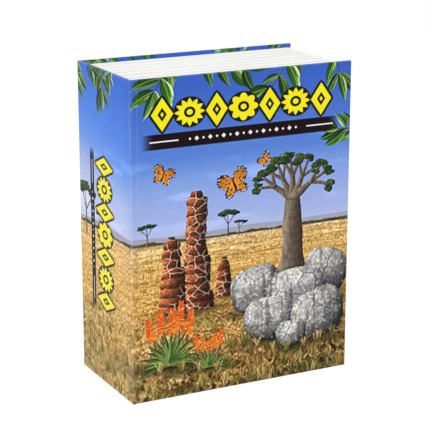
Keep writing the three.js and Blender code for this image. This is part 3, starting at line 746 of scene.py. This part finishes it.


# Along the folds at the spine and the joints and round the boards' outer edges the laminate is painted a
# little paler, by a bell curve of
# the distance, broken up by noise: partly the whitening of creased laminate, partly a painted highlight along
# the edges
def paintFolds(canvas):
    s, t = canvas.s, canvas.t
    grain = 0.55 + 0.9 * noise(s / 1.5, t / 9, 41, 3)
    folds = [(t, 0.22, 0.5), (t - bookHeight, 0.22, 0.5)]
    for edge, strength, width in ((spineFace, 0.22, 0.55), (spineInside, 0.08, 0.6), (coverStart, 0.08, 0.6),
                                  (foreEdge, 0.22, 0.5)):
        away = edge - spineFace
        folds += [(s - away, strength, width), (s + bookThickness + away, strength, width)]
    for distance, strength, width in folds:
        canvas.lay(ink["creaseAndHighlight"], np.exp(-(distance / width) ** 2) * strength * grain)


# What is painted over sky and ground, from back to front; rows give places and sizes on the
# sheet, then the seed of the thing's noise
meadow = np.random.default_rng(77).uniform((-300, -4), (210, 62), (150, 2))
scenery = {
    "far trees": (paintFarTree, [
        ((-90, 124), 46, 301), ((-62, 131), 17, 302), ((14, 131), 20, 303), ((86, 131), 24, 304),
        ((96, 130), 15, 305), ((-150, 130), 30, 306), ((-200, 131), 20, 307), ((-262, 130), 27, 308)]),
    "pillars": (paintPillar, [
        (82, 80, [0, 10, 26, 34], [8, 6.5, 5, 3], 404),
        (58, 72, [0, 20, 60, 92, 100], [15, 12, 10, 8, 5], 401),
        (36, 68, [0, 15, 45, 62, 68], [13, 11, 9, 7, 4], 402)]),
    "thick-stemmed tree": (paintThickTree, [((146, 96), 62, 501)]),
    "meadow": (paintTufts, [(meadow, 15, 0.14, 0.32, 9, 800, "green")]),
    "boulders": (paintBoulder, [
        ((112, 82), (24, 20), 0.15, 601, 0.95), ((178, 88), (22, 21), -0.2, 602, 0.85),
        ((150, 74), (27, 22), 0.05, 603, 1.0), ((124, 54), (23, 19), -0.1, 604, 1.05),
        ((172, 52), (26, 22), 0.2, 605, 0.95), ((146, 38), (15, 12), 0.0, 606, 1.1),
        ((-170, 70), (26, 18), 0.1, 609, 0.95), ((-196, 60), (17, 13), -0.1, 610, 1.05)]),
    "tufts at the boulders": (paintTufts, [
        (((104, 36), (114, 32), (128, 25), (142, 24), (158, 25), (172, 28), (186, 31), (-190, 46),
          (-176, 50), (-158, 52)), 9, 0, 0.35, 18, 990, "green")]),
    "aloes": (paintAloe, [((34, 30), 34, 950), ((69, 22), 20, 960), ((-236, 30), 27, 970)]),
    "tufts at the aloes": (paintTufts, [
        (((24, 24), (44, 22), (60, 19), (76, 17), (-246, 24), (-226, 24)), 9, 0, 0.35, 16, 980, "gold")]),
    "leaf sprays": (paintSpray, [
        ((-58, 290), -1.3, 40, 4, 24, 700), ((-34, 284), -1.9, 22, 3, 17, 701),
        ((-88, 286), -1.0, 26, 3, 18, 702), ((58, 290), -0.75, 48, 4, 27, 703),
        ((46, 292), -2.2, 44, 4, 25, 704), ((152, 291), -2.2, 50, 4, 27, 705),
        ((172, 290), -1.0, 38, 3, 25, 706), ((212, 206), 3.0, 24, 3, 22, 707),
        ((-128, 292), -1.2, 44, 4, 26, 708), ((-150, 290), -2.0, 34, 3, 22, 709),
        ((-288, 292), -1.6, 46, 4, 25, 710), ((-262, 288), -1.1, 28, 3, 20, 711)]),
    "butterflies": (paintButterfly, [
        ((92, 172), 17, 0.35, 31), ((28, 186), 12, -0.4, 32), ((120, 190), 8, 0.7, 33)]),
    "bands": (paintBand, [(False, 8, 190, 208.5, 220.5, 15), (True, 58, 200, -79.5, -72, 12)]),
}


# The whole picture at points of the sheet, as what the print material reads there
def paintPicture(s, t):
    canvas = Canvas(s, t)
    paintSky(canvas)
    paintGround(canvas)
    for painter, rows in scenery.values():
        for row in rows:
            painter(canvas, *row)
    paintFolds(canvas)
    rgba = np.column_stack([toLinear(unit(canvas.rgb)), np.ones(len(s))])
    return {"ink": rgba, "grass": canvas.grass, "rock": canvas.rock}


# Sharpens a grid of colours in place, as a print is before it goes to press: to each colour it adds
# its difference from the mean of the four colours some way off in its row and column
def sharpen(grid, cell):
    reach = max(1, round(picture["sharpenReach"] / cell))
    wide = np.pad(grid, ((reach, reach), (reach, reach), (0, 0)), mode="edge")
    here, before, after = slice(reach, -reach), slice(-2 * reach), slice(2 * reach, None)
    mean = (wide[after, here] + wide[before, here] + wide[here, after] + wide[here, before]) / 4
    grid[:] = unit(grid + (grid - mean) * picture["sharpenBy"])


# The print's grain: its size in mm along x, y and z, coarser than a press would hold, so that it
# shows, then its roughness and strength. A noise bends the grass's grain, and a fine one is fibre
printGrain = {
    "grass": ((1.25, 1.25, 2.4), 0.65, 3.4),
    "rock": ((1.7, 1.7, 1.7), 0.5, 2.2),
    "sway": 9,
    "swayBy": 2.5,
    "fibre": 0.5,
    "relief": 0.05,
}


# Printed wrap: offset-printed art paper under a satin laminate, so colours are full, highlights
# are broad and soft, and grass and rock carry a finer grain than the painted points can hold
def makePrintMaterial():
    material, tree, shader = newMaterial("offset print under satin laminate")
    place = addNode(tree, "TexCoord").outputs["Object"]
    sway, fibre = [addNode(tree, "TexNoise", {"Vector": place, "Scale": scale, "Detail": 2.0})
                   for scale in perCell([printGrain["sway"], printGrain["fibre"]])]
    swayed = addNode(tree, "VectorMath", {0: sway.outputs["Color"], "Scale": printGrain["swayBy"] * mm},
                     operation="SCALE")
    bent = addNode(tree, "VectorMath", {0: place, 1: swayed}, operation="ADD")
    tint = addNode(tree, "VertexColor", layer_name="ink")
    for label, source in (("grass", bent), ("rock", place)):
        # The noise about its middle, times how much of that surface is there, plus 1
        sizes, roughness, strength = printGrain[label]
        grain = addNode(tree, "Mapping", {"Vector": source, "Scale": perCell(sizes)})
        flecks = addNode(tree, "TexNoise", {"Vector": grain, "Scale": 1.0, "Detail": 4.0,
                                            "Roughness": roughness})
        centred = addNode(tree, "Math", {0: flecks, 1: 0.5}, operation="SUBTRACT")
        strong = addNode(tree, "Math", {0: centred, 1: strength}, operation="MULTIPLY")
        share = addNode(tree, "Attribute", attribute_name=label).outputs["Fac"]
        level = addNode(tree, "Math", {0: strong, 1: share, 2: 1.0}, operation="MULTIPLY_ADD")
        tint = addNode(tree, "VectorMath", {0: tint, "Scale": level}, operation="SCALE")
    bump = addNode(tree, "Bump", {"Height": fibre, "Strength": 0.05, "Distance": printGrain["relief"] * mm})
    fill(tree, shader, {"Base Color": tint, "Normal": bump, "Roughness": 0.5, "Specular IOR Level": 0.1})
    return material


wrap = {
    "edgeRadius": 0.7,
    "sheet": 0.25,
    "film": 0.02,
    "turnIn": 15.0,
    "edgeSteps": 3,
    "turnInSteps": 4,
}
printMaterial = makePrintMaterial()

# The cover's faces. u is the distance over the sheet from the spine's front corner and way its
# sense, so that s is way times u; a place is worked out from u, the height and the depth under the
# face. A fine print lies in panels over the faces that the photo shows, whose own cells are coarse
coverFaces = {
    "front": {"wrap": "frontCoverWrap", "body": "front_cover", "way": 1, "cell": 1.3, "panels": 2,
              "span": (coverStart - spineFace, foreEdge - spineFace),
              "place": lambda u, height, depth: stacked(spineFace + u, frontFace + depth, height)},
    "spine": {"wrap": "spineWrap", "body": "book", "way": -1, "cell": 1.3, "panels": 1,
              "span": (0, bookThickness),
              "place": lambda u, height, depth: stacked(spineFace + depth, frontFace + u, height)},
    "back": {"wrap": "backCoverWrap", "body": "book", "way": -1, "cell": 0.85, "panels": 0,
             "span": (bookThickness + coverStart - spineFace, bookThickness + foreEdge - spineFace),
             "place": lambda u, height, depth: stacked(spineFace + u - bookThickness, backFace - depth,
                                                       height)},
}


# A closed sheet over a face. It starts as a grid. From the grid's rim, rings of equal count follow,
# each given as its distance outwards, its depth and the paper used so far, and the last ring meets
# itself on a seam along the middle of the hidden side. Each ring is the rim scaled about the
# middle, so corners are mitred, and the picture runs on round them by the paper used
def closedSheet(name, face, us, heights, rings, lift=0, node=None):
    index = numbered(len(heights), len(us))
    rim = rimOf(index)
    flat = stacked(*np.meshgrid(us, heights)).reshape(-1, 2)
    middle, half = (flat[0] + flat[-1]) / 2, (flat[-1] - flat[0]) / 2
    share = (flat[rim] - middle) / half
    out, depth, run = np.array(rings).T[:, :, None, None]
    slack = half[1] - half[0]
    seamHeights = middle[1] + np.clip(flat[rim, 1] - middle[1], -slack, slack)
    seamRows, seamOf = np.unique(np.round(seamHeights, 6), return_inverse=True)
    seam = stacked(middle[0] + 0 * seamRows, seamRows)
    spots, sheet = [np.concatenate([flat, (middle + share * (half + more)).reshape(-1, 2), seam])
                    for more in (out, run)]
    depths = np.repeat([0, *depth.ravel(), rings[-1][1]], [len(flat), *[len(rim)] * len(rings), len(seam)])
    loops = index.size + numbered(len(rings), len(rim))
    hidden = bands(np.vstack([rim, loops, index.size + loops.size + seamOf.ravel()]))
    merged = hidden[:, 2] == hidden[:, 3]
    values = paintPicture(face["way"] * sheet[:, 0], sheet[:, 1])
    sharpen(values["ink"][:index.size].reshape(*index.shape, 4), us[1] - us[0])
    tables = [quads(index), hidden[~merged], hidden[merged][:, :3]]
    points = face["place"](*spots.T, depths - lift)
    makePiece(name, points, tables, printMaterial, face["body"], "print", node, values=values)


# Places from low to high, about a cell apart
def steps(low, high, cell):
    return np.linspace(low, high, int(round((high - low) / cell)) + 1)


# The wrap folded round a flat board: a quarter round, the board's edge, a quarter round and the
# turn-in, then back along the inside
def wrappedBoard(side, face):
    r, sheet, turnIn = wrap["edgeRadius"], wrap["sheet"], wrap["turnIn"]
    inside = coverThickness - sheet
    turns = np.linspace(0, math.pi / 2, wrap["edgeSteps"] + 1)
    edgeEnd = r * math.pi / 2 + coverThickness - 2 * r
    turnStart = edgeEnd + r * math.pi / 2
    rings = [(r * math.sin(a), r * (1 - math.cos(a)), r * a) for a in turns[1:]]
    rings += [(r * math.cos(a), coverThickness - r + r * math.sin(a), edgeEnd + r * a) for a in turns]
    rings += [(-reach, coverThickness, turnStart + reach)
              for reach in np.linspace(0, turnIn - r, wrap["turnInSteps"] + 1)[1:]]
    rings += [(r - turnIn, inside, turnStart), (r - sheet, inside, r), (r - sheet, sheet, 0)]
    us = steps(face["span"][0] + r, face["span"][1] - r, face["cell"])
    closedSheet(face["wrap"], face, us, steps(r, bookHeight - r, face["cell"]), rings, node=side + "_wrap")


# The printed film over a wrap's face, in panels side by side so that each mesh stays small enough
def printedFilm(side, face):
    r, cell, film = wrap["edgeRadius"], picture["cell"], wrap["film"]
    edges = np.linspace(face["span"][0] + r, face["span"][1] - r, face["panels"] + 1)
    for panel in range(face["panels"]):
        closedSheet("%sPrint%d" % (side, panel + 1), face, steps(edges[panel], edges[panel + 1], cell),
                    steps(r, bookHeight - r, cell), [(0, film, 0)], lift=film)


# The flexible strip between two boards: outside, a shallow dip, half a sine across, and inside,
# the liner that fills the slot. It is closed at its ends, and its picture carries on from the boards
joint = {
    "columns": 25,
    "overlap": 0.45,     # mm under the rounded edges of the boards' wraps
    "sunk": 0.16,
    "dip": 0.3,
    "thickness": 2.8,
    "clearance": 0.05,
    "endGap": 0.12,
}


def jointStrip(side, body=None):
    face, count, endGap = coverFaces[side], joint["columns"], joint["endGap"]
    end = face["span"][0]
    start = end - (coverStart - spineInside)
    outside = np.linspace(start - joint["overlap"], end + joint["overlap"], count)
    inside = np.linspace(end - joint["clearance"], start + joint["clearance"], count)
    dip = joint["sunk"] + joint["dip"] * np.sin(np.linspace(0, math.pi, count))
    section = stacked(np.append(outside, inside), np.append(dip, 0 * dip + joint["thickness"]))
    heights = np.linspace(endGap, bookHeight - endGap, int(bookHeight / picture["cell"]))
    points, tables = stripOf(section, heights)
    u, depth, height = points.T
    points = face["place"](u, height, depth)
    return makePiece(side + "JointStrip", points, tables, printMaterial, body, "print", side + "_joint",
                     values=paintPicture(face["way"] * u, height))


def makeWraps():
    for make in (wrappedBoard, printedFilm):
        for side, face in coverFaces.items():
            make(side, face)
    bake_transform(jointStrip("front"), "book", "front_cover", start=(spineInside * mm, frontFace * mm, 0),
             end=(coverStart * mm, frontFace * mm, 0))
    jointStrip("back", "book")


makeWraps()
print("wraps made")

# Finishes made alike: two colours mixed by a noise of the material's own grain, which also varies
# the roughness and lifts the surface. Rows give the material, its colours, the grain along x, y and z
# and the lift in mm, the range of roughness, metallic, specular level and the CAD nodes finished so
finishes = {
    # Grey chipboard, rolled: dull, with flecks of fibre
    "board": ("rolled greyboard", "#8d8577", "#b3aa99", (1.2, 1.2, 1.2), 0.05, 0.85, 0.95, 0, 0.5,
              "spine_board front_board back_board"),
    # Cotton mull glued over the backs of the gatherings: matt buff, rough with open threads
    "lining": ("glued cotton mull", "#bdb194", "#d8cfb6", (0.5, 0.5, 1.2), 0.08, 0.85, 0.95, 0, 0.5,
               "spine_lining"),
    # Uncoated endpaper: warm white, matt, with a soft cloudiness held to the light
    "endpaper": ("uncoated endpaper", "#efeadd", "#f8f5ec", (2.5, 2.5, 2.5), 0.015, 0.75, 0.85, 0, 0.5,
                 "front_pastedown back_pastedown"),
    # Powder coat baked on sheet steel: near black with a fine orange-peel sheen
    "powder": ("black powder-coated steel", "#191a1c", "#26282b", (0.7, 0.7, 0.7), 0.045, 0.38, 0.55, 0, 0.5,
               "safe_box lid_ledge lid_panel"),
    # Zinc-plated steel, brushed along its length: pale grey with drawn-out streaks
    "steel": ("brushed zinc-plated steel", "#a9adb2", "#cfd3d6", (0.25, 0.25, 9.0), 0.008, 0.25, 0.42, 1, 0.5,
              "box_hinge_leaf lid_hinge_leaf hinge_pin wheel_axle lock_bolt lock_screw_lower "
              "lock_screw_upper"),
    # Nickel plate over a zinc die casting, tumbled satin: warm bright grey with a fine even grain
    "nickel": ("satin nickel-plated zinc", "#bdb8ad", "#d3cfc5", (0.3, 0.3, 0.3), 0.006, 0.22, 0.34, 1, 0.5,
               "slide_button number_wheel_1 number_wheel_2 number_wheel_3"),
    # Spring steel strip, cold rolled: bright grey and glossy, with faint roller lines
    "spring": ("cold-rolled spring steel", "#8f959b", "#b3b8bd", (0.3, 0.3, 5.0), 0.004, 0.18, 0.28, 1, 0.5,
               "detent_spring"),
    # ABS, moulded with a light spark-eroded grain: soft black with a low sheen
    "plastic": ("moulded black ABS", "#121314", "#1c1d1f", (0.35, 0.35, 0.35), 0.012, 0.42, 0.52, 0, 0.5,
                "lock_bezel lock_case"),
    # Needled wool felt: charcoal, wholly matt, cloudy with loose fibres
    "felt": ("needled wool felt", "#2a2b2e", "#4a4c50", (0.9, 0.9, 0.9), 0.25, 0.95, 1.0, 0, 0.1, ""),
    # Pad-printed ink: opaque white, faintly raised
    "whiteInk": ("pad-printed white ink", "#f1f0ec", "#fbfbf9", (0.6, 0.6, 0.6), 0.003,
                 0.45, 0.55, 0, 0.12, ""),
    # Printed yellow under gloss varnish: strong lemon, smoother than the laminate round it
    "yellowInk": ("varnished yellow print", "#ede000", "#f8ee1c", (9, 9, 9), 0.002, 0.26, 0.34, 0, 0.12, ""),
    # Printed black under gloss varnish: deep and even, with the same sheen as the yellow
    "blackInk": ("varnished black print", "#080809", "#131315", (6, 6, 6), 0.002, 0.26, 0.34, 0, 0.12, ""),
}


def makeFinish(name, dark, light, sizes, lift, smooth, rough, metal, gloss, nodes):
    material, tree, shader = newMaterial(name)
    place = addNode(tree, "TexCoord").outputs["Object"]
    grain = addNode(tree, "Mapping", {"Vector": place, "Scale": perCell(sizes)})
    flecks = addNode(tree, "TexNoise", {"Vector": grain, "Scale": 1.0, "Detail": 4.0})
    shade = addNode(tree, "Mix", {0: flecks, 6: linear(dark), 7: linear(light)}, data_type="RGBA")
    spread = addNode(tree, "MapRange", {"Value": flecks, "From Min": 0.3, "From Max": 0.7, "To Min": smooth,
                                        "To Max": rough})
    bump = addNode(tree, "Bump", {"Height": flecks, "Strength": 0.6, "Distance": lift * mm})
    fill(tree, shader, {"Base Color": shade.outputs[2], "Roughness": spread, "Normal": bump,
                        "Metallic": metal, "Specular IOR Level": gloss})
    for node in nodes.split():
        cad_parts[node].data.materials.clear()
        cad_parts[node].data.materials.append(material)
    return material


materials = {key: makeFinish(*finish) for key, finish in finishes.items()}
print("metal, board and plastic finished")


# The glued gatherings. Round the outline, each row of points lies at its depth between two joins;
# near a join it sinks by a bell curve, and joins wander along the edge by a smooth noise
pages = {
    "gatherings": 8,
    "groove": 0.9,        # how deep a join sinks
    "grooveWidth": 0.95,
    "shadeWidth": 3.2,    # how far a join's shade reaches
    "shadeShare": 0.22,
    "foreEdgeShadeShare": 0.5,    # less painted shade in the joins on the fore-edge
    "wander": 0.7,        # how far a join strays
    "wanderLength": 55.0,
    "settle": 0.45,       # how unevenly the gatherings stand
    "pillow": 0.35,       # share of that which rounds a gathering's two edges
    "rows": [0, 0.05, 0.11, 0.2, 0.35, 0.5, 0.65, 0.8, 0.89, 0.95],
    "step": 2.4,
    "windowGap": 0.3,     # round the steel box
    "windowRows": 5,
    "white": "#fefffc",
    "shade": "#dfe0da",
    # grey of the painted shade in and near the joins between gatherings
    "joinShade": "#bdbeb6",
    "leaf": (70, 0.8, 70),    # some eight times as thick as a real leaf, so that it shows
    "leafRise": 0.12,
}


# Woodfree offset paper, guillotined: the edges show the leaves as fine pale lines, with painted shade greying
# them where one gathering meets the next, and a leaf's flat face is an even white
def makePageMaterial():
    material, tree, shader = newMaterial("guillotined woodfree paper")
    place = addNode(tree, "TexCoord").outputs["Object"]
    leaf = addNode(tree, "Mapping", {"Vector": place, "Scale": perCell(pages["leaf"])})
    lines = addNode(tree, "TexNoise", {"Vector": leaf, "Scale": 1.0, "Detail": 3.0})
    tone = addNode(tree, "MapRange", {"Value": lines, "From Min": 0.3, "From Max": 0.5})
    flat, joinShade = [addNode(tree, "Attribute", attribute_name=label).outputs["Fac"]
                  for label in ("leaf", "joinShade")]
    even = addNode(tree, "Math", {0: tone, 1: flat}, operation="MAXIMUM")
    paper = addNode(tree, "Mix", {0: even, 6: linear(pages["shade"]), 7: linear(pages["white"])},
                    data_type="RGBA").outputs[2]
    joinShaded = addNode(tree, "Mix", {0: joinShade, 6: paper, 7: linear(pages["joinShade"])}, data_type="RGBA").outputs[2]
    bump = addNode(tree, "Bump", {"Height": lines, "Strength": 0.35, "Distance": pages["leafRise"] * mm})
    fill(tree, shader, {"Base Color": joinShaded, "Normal": bump, "Roughness": 0.82, "Specular IOR Level": 0.3})
    return material


def makePages():
    low, size, last = pagesLow, pagesHigh - pagesLow, pages["gatherings"] - 1
    across, up = [np.arange(count) / count for count in (size[[0, 2]] / pages["step"]).astype(int)]
    # Places round a rectangle, as shares of its sides, and the directions that point out of it
    places = np.hstack([[across, 0 * across], [1 + 0 * up, up],
                        [1 - across, 1 + 0 * across], [0 * up, 1 - up]])
    outX, outZ = (places == 1) * 1.0 - (places == 0)
    x, z = low[[0, 2], None] + size[[0, 2], None] * places
    boxLow, boxHigh = boxOf("safe_box") + np.array([[-1], [1]]) * pages["windowGap"]
    windowX, windowZ = boxLow[[0, 2], None] + (boxHigh - boxLow)[[0, 2], None] * places
    thick = size[1] / pages["gatherings"]
    settle = np.random.default_rng(5).uniform(0, pages["settle"], pages["gatherings"])
    run = np.arange(len(x)) * pages["step"] / pages["wanderLength"]
    stray = [(noise(run, run * 0 + k * 7.3, 60 + k, 3) - 0.5) * 2 * pages["wander"] * (0 < k <= last)
             for k in range(last + 2)]
    free = outX > -0.5
    rows = []
    for k, share in [(k, share) for k in range(last + 1) for share in pages["rows"]] + [(last, 1.0)]:
        y = low[1] + thick * (k + share) + stray[k] * (1 - share) + stray[k + 1] * share
        nearest = min(share, 1 - share) * thick
        outer = (k == 0 and share < 0.5) or (k == last and share > 0.5)
        bell, shade = [(not outer) * math.exp(-(nearest / pages[width]) ** 2)
                       for width in ("grooveWidth", "shadeWidth")]
        swell = math.sin(math.pi * share)
        sink = settle[k] * swell ** 0.5 + pages["settle"] * pages["pillow"] * (1 - swell)
        sink = (sink + pages["groove"] * bell) * free
        # Painted shade: greyer in the groove at each join and faintly over the gathering's sides near it,
        # less on the fore-edge
        joinShade = max(bell, pages["shadeShare"] * shade) * free * np.where(outX > 0.5, pages["foreEdgeShadeShare"], 1)
        rows.append((stacked(x - outX * sink, y, z - outZ * sink), joinShade, x * 0 + (outer and nearest == 0)))
    for y in np.linspace(pagesHigh[1], low[1], pages["windowRows"]):
        rows.append((stacked(windowX, x * 0 + y, windowZ), x * 0, x * 0 + 1))
    points, joinShades, leaves = [np.concatenate(part) for part in zip(*rows)]
    makePiece("gatheredPages", points, [quads(numbered(len(rows), len(x), 1, 1))], makePageMaterial(), "book",
              "paper", "page_block", values={"joinShade": joinShades, "leaf": leaves})


makePages()
print("pages made")


# The ornament row: lozenges, suns and eight-petalled flowers by polar formulas in mm. The front's
# row runs across and the spine's upwards, and middle is where it lies on the sheet
ornament = {
    "points": 120,
    "outline": 2.1,
    "blackRise": 0.06,
    "yellowRise": 0.10,
    "stagger": 0.012,           # so that neighbours that overlap don't lie in one plane
    "lozenge": (9.4, 15.4),     # half width and height
    "sun": (10.9, 2.2, 12),     # mean radius, half a ray's length and the count of rays
    "flower": (9.2, 3.7, 4),    # inner radius, a petal's length and half the count of petals
    "lozengeInside": (0.42, 0.16),     # hole and dot, as shares
    "roundInside": (14.2, 5.0, 2.6),   # black spot, hole and dot of the others, as radii
    "front": {"start": 28.0, "pitch": 23.9, "middle": 236.0, "size": (1.02, 0.87)},
    "spine": {"start": 72.5, "pitch": 19.0, "middle": -51.0, "size": (0.80, 1.16)},
    "order": ["lozenge", "sun", "lozenge", "flower", "lozenge", "sun", "lozenge"],
}


# Gives the place of a shape's points that are lifted off a face's print
def placeOn(side):
    face = coverFaces[side]

    def place(along, across, lift):
        s, t = (along, across) if side == "front" else (across, along)
        return face["place"](face["way"] * s, t, -lift)

    return place


# A flat plate inside an outline, or between it and a hole of as many points
def plate(place, rise, outline, *hole):
    loops = [(outline, 0), (outline, rise)] + [(loop, lift) for loop in hole for lift in (rise, 0)]
    points = np.concatenate([place(*loop.T, np.full(len(loop), lift)) for loop, lift in loops])
    table = numbered(len(loops), len(outline), len(hole))
    return points, [bands(table)] if hole else [bands(table), table[:1, ::-1], table[1:]]


# Radius by direction: 1 over the sum of cosine over width and sine over height for a lozenge, a
# triangle wave for a sun's rays, a cosine without its sign for petals, and else a circle
def outlineOf(shape, scale=1.0):
    turn = np.linspace(0, 2 * math.pi, ornament["points"], endpoint=False)
    reach = scale + 0 * turn
    if shape == "lozenge":
        wide, tall = ornament[shape]
        reach /= np.abs(np.cos(turn)) / wide + np.abs(np.sin(turn)) / tall
    if shape == "sun":
        radius, ray, count = ornament[shape]
        reach *= radius + ray * (2 / math.pi) * np.arcsin(np.sin(count * turn + math.pi / 2))
    if shape == "flower":
        radius, petal, count = ornament[shape]
        reach *= radius + petal * np.abs(np.cos(count * turn))
    return reach[:, None] * pointing(turn)


# Moves an outline outwards by a distance along the normals of its sides
def spreadOut(outline, distance):
    along = np.roll(outline, -1, axis=0) - np.roll(outline, 1, axis=0)
    return outline + along[:, ::-1] * (1, -1) / np.linalg.norm(along, axis=1, keepdims=True) * distance


def makeOrnaments(side):
    row, place = ornament[side], placeOn(side)
    black, yellow = [], []
    for index, shape in enumerate(ornament["order"]):
        shift = np.array([row["start"] + index * row["pitch"], row["middle"]])
        outer = outlineOf(shape) * row["size"]
        if shape == "lozenge":
            edge = spreadOut(outer, ornament["outline"])
            hole, dot = [outlineOf(shape, scale) * row["size"] for scale in ornament["lozengeInside"]]
        else:
            edge, hole, dot = [outlineOf("round", radius) * row["size"] for radius in ornament["roundInside"]]
        step = ornament["stagger"] * (index % 2)
        black.append(plate(place, ornament["blackRise"] + step, edge + shift))
        yellow.append(plate(place, ornament["yellowRise"] + step, outer + shift, hole + shift))
        yellow.append(plate(place, ornament["yellowRise"] + step, dot + shift))
    for name, meshes, key in (("Black", black, "blackInk"), ("Yellow", yellow, "yellowInk")):
        makePiece(side + "Ornament" + name, *together(meshes), materials[key], coverFaces[side]["body"],
                  "print", smooth=False)


# White rules and a row of small lozenges on the dark band
marks = {
    "rise": 0.06,
    "smaller": 0.6,       # size of every second lozenge
    "front": {"rules": [(17, 42), (158, 183)], "middle": 214.5, "thick": 1.0,
              "from": 52, "to": 148, "count": 17, "size": 1.9},
    "spine": {"rules": [(68, 88), (168, 188)], "middle": -75.8, "thick": 0.8,
              "from": 96, "to": 160, "count": 13, "size": 1.3},
}


def makeMarks(side):
    row = marks[side]
    half = row["thick"] / 2
    shapes = [[[start, -half], [end, -half], [end, half], [start, half]] for start, end in row["rules"]]
    for index, middle in enumerate(np.linspace(row["from"], row["to"], row["count"])):
        size = row["size"] * (1 if index % 2 else marks["smaller"])
        shapes.append([[middle - size, 0], [middle, -size], [middle + size, 0], [middle, size]])
    meshes = [plate(placeOn(side), marks["rise"], np.add(shape, (0, row["middle"]))) for shape in shapes]
    makePiece(side + "BandMarks", *together(meshes), materials["whiteInk"], coverFaces[side]["body"],
              "print", smooth=False)


for make in (makeOrnaments, makeMarks):
    make("front")
    make("spine")
print("ornaments made")


# Felt mat on the safe's floor: needled wool, a grid whose nap rises and falls by a fine noise and
# thins to a rounded edge
mat = {"cell": 1.6, "edge": 2.2, "nap": 0.22, "napGrain": 2.4, "edgeThickness": 0.35}


def makeMat():
    low, high = boxOf("floor_mat")
    x, z = np.meshgrid(*[np.linspace(low[axis], high[axis], int((high[axis] - low[axis]) / mat["cell"]))
                         for axis in (0, 2)])
    inside = np.minimum.reduce([x - low[0], high[0] - x, z - low[2], high[2] - z])
    swell = np.sqrt(unit(1 - (1 - unit(inside / mat["edge"])) ** 2))
    nap = (noise(x / mat["napGrain"], z / mat["napGrain"], 91, 4) - 0.5) * mat["nap"]
    thick = high[1] - low[1] - mat["nap"]
    top = thick * (mat["edgeThickness"] + (1 - mat["edgeThickness"]) * swell) + nap * swell
    points = np.concatenate([stacked(x, high[1] - rise, z).reshape(-1, 3) for rise in (top, 0 * top)])
    index = numbered(*x.shape)
    under = index + index.size
    tables = [quads(index)[:, ::-1], quads(under), bands(stacked(rimOf(index), rimOf(under)).T)]
    makePiece("feltMat", points, tables, materials["felt"], "book", "felt", "floor_mat")


makeMat()

# Numbers 0 to 9 round each wheel, one on each flat, read with the lock's long side across
digits = {"size": 4.4, "rise": 0.06, "radius": 7.76, "count": 10, "curveSteps": 3, "weld": 1e-4}


# The flat outline of a number as points and triangles, in mm about its middle
def digitShape(number):
    curve = bpy.data.curves.new("digit", "FONT")
    curve.body = str(number)
    curve.size = digits["size"]
    curve.extrude = digits["rise"]
    curve.resolution_u = digits["curveSteps"]
    letter = bpy.data.objects.new("digit", curve)
    bpy.context.scene.collection.objects.link(letter)
    bpy.context.view_layer.update()
    mesh = bpy.data.meshes.new_from_object(letter.evaluated_get(bpy.context.evaluated_depsgraph_get()))
    bpy.data.objects.remove(letter)
    shape = bmesh.new()
    shape.from_mesh(mesh)
    bmesh.ops.remove_doubles(shape, verts=shape.verts, dist=digits["weld"])
    bmesh.ops.triangulate(shape, faces=shape.faces)
    points = np.array([vertex.co[:] for vertex in shape.verts])
    triangles = np.array([[vertex.index for vertex in face.verts] for face in shape.faces])
    shape.free()
    bpy.data.meshes.remove(mesh)
    points[:, :2] -= (points[:, :2].min(axis=0) + points[:, :2].max(axis=0)) / 2
    return points, triangles


# A digit's x runs along the axle, its y round the wheel and its z outwards
def makeDigits():
    shapes = [digitShape(number) for number in range(digits["count"])]
    for wheel in (1, 2, 3):
        meshes = []
        for number, (points, triangles) in enumerate(shapes):
            x, y = pointing(-math.pi / 2 - number * 2 * math.pi / digits["count"])
            seat = boxOf("number_wheel_%d" % wheel).mean(axis=0) + np.array([x, y, 0]) * digits["radius"]
            meshes.append((seat + points @ [[0, 0, 1], [y, -x, 0], [x, y, 0]], [triangles]))
        makePiece("wheelNumbers%d" % wheel, *together(meshes), materials["blackInk"], "wheel_%d" % wheel,
                  "black_plastic", smooth=False)


# Printed index marks: small triangles above and below the windows, pointing at the wheels' middle
indexMark = {"half": 1.1, "height": 1.7, "gap": 1.0, "rise": 0.04}


def makeIndexMarks():
    bezelFace = boxOf("lock_bezel")[0, 1]
    wheels = np.array([boxOf("number_wheel_1"), boxOf("number_wheel_3")])
    middle, half = wheels[1, :, 0].mean(), indexMark["half"]
    meshes = []
    for edge, away in ((wheels[:, :, 2].max(), 1), (wheels[:, :, 2].min(), -1)):
        tip = edge + away * indexMark["gap"]
        base = tip + away * indexMark["height"]
        corners = np.array([[middle, tip], [middle + half, base], [middle - half, base]])
        meshes.append(plate(lambda x, z, lift: stacked(x, bezelFace - lift, z), indexMark["rise"], corners))
    makePiece("indexMarks", *together(meshes), materials["whiteInk"], "lid", "print", smooth=False)


makeIndexMarks()
makeDigits()
print("mat and numbers made")

# The endpaper's fold between pages and front cover: a thin closed strip that bends as it opens
fold = {"sheet": 0.12, "gap": 0.12, "slope": 0.2, "overlap": 3.0, "columns": 31, "rows": 40}


def makeEndpaperFold():
    pasteLow, pasteHigh = boxOf("front_pastedown")
    x = np.linspace(pagesLow[0], pasteLow[0] + fold["overlap"], fold["columns"])
    y = pasteHigh[1] + fold["gap"] + fold["slope"] * np.linspace(1, 0, fold["columns"])
    section = stacked(np.append(x, x[::-1]), np.append(y, y[::-1] + fold["sheet"]))
    points, tables = stripOf(section, np.linspace(pasteLow[2], pasteHigh[2], fold["rows"]))
    strip = makePiece("endpaperFold", points, tables, materials["endpaper"], slot="endpaper")
    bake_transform(strip, "book", "front_cover", start=(pagesLow[0] * mm, y[0] * mm, 0),
             end=(pasteLow[0] * mm, y[0] * mm, 0))


makeEndpaperFold()
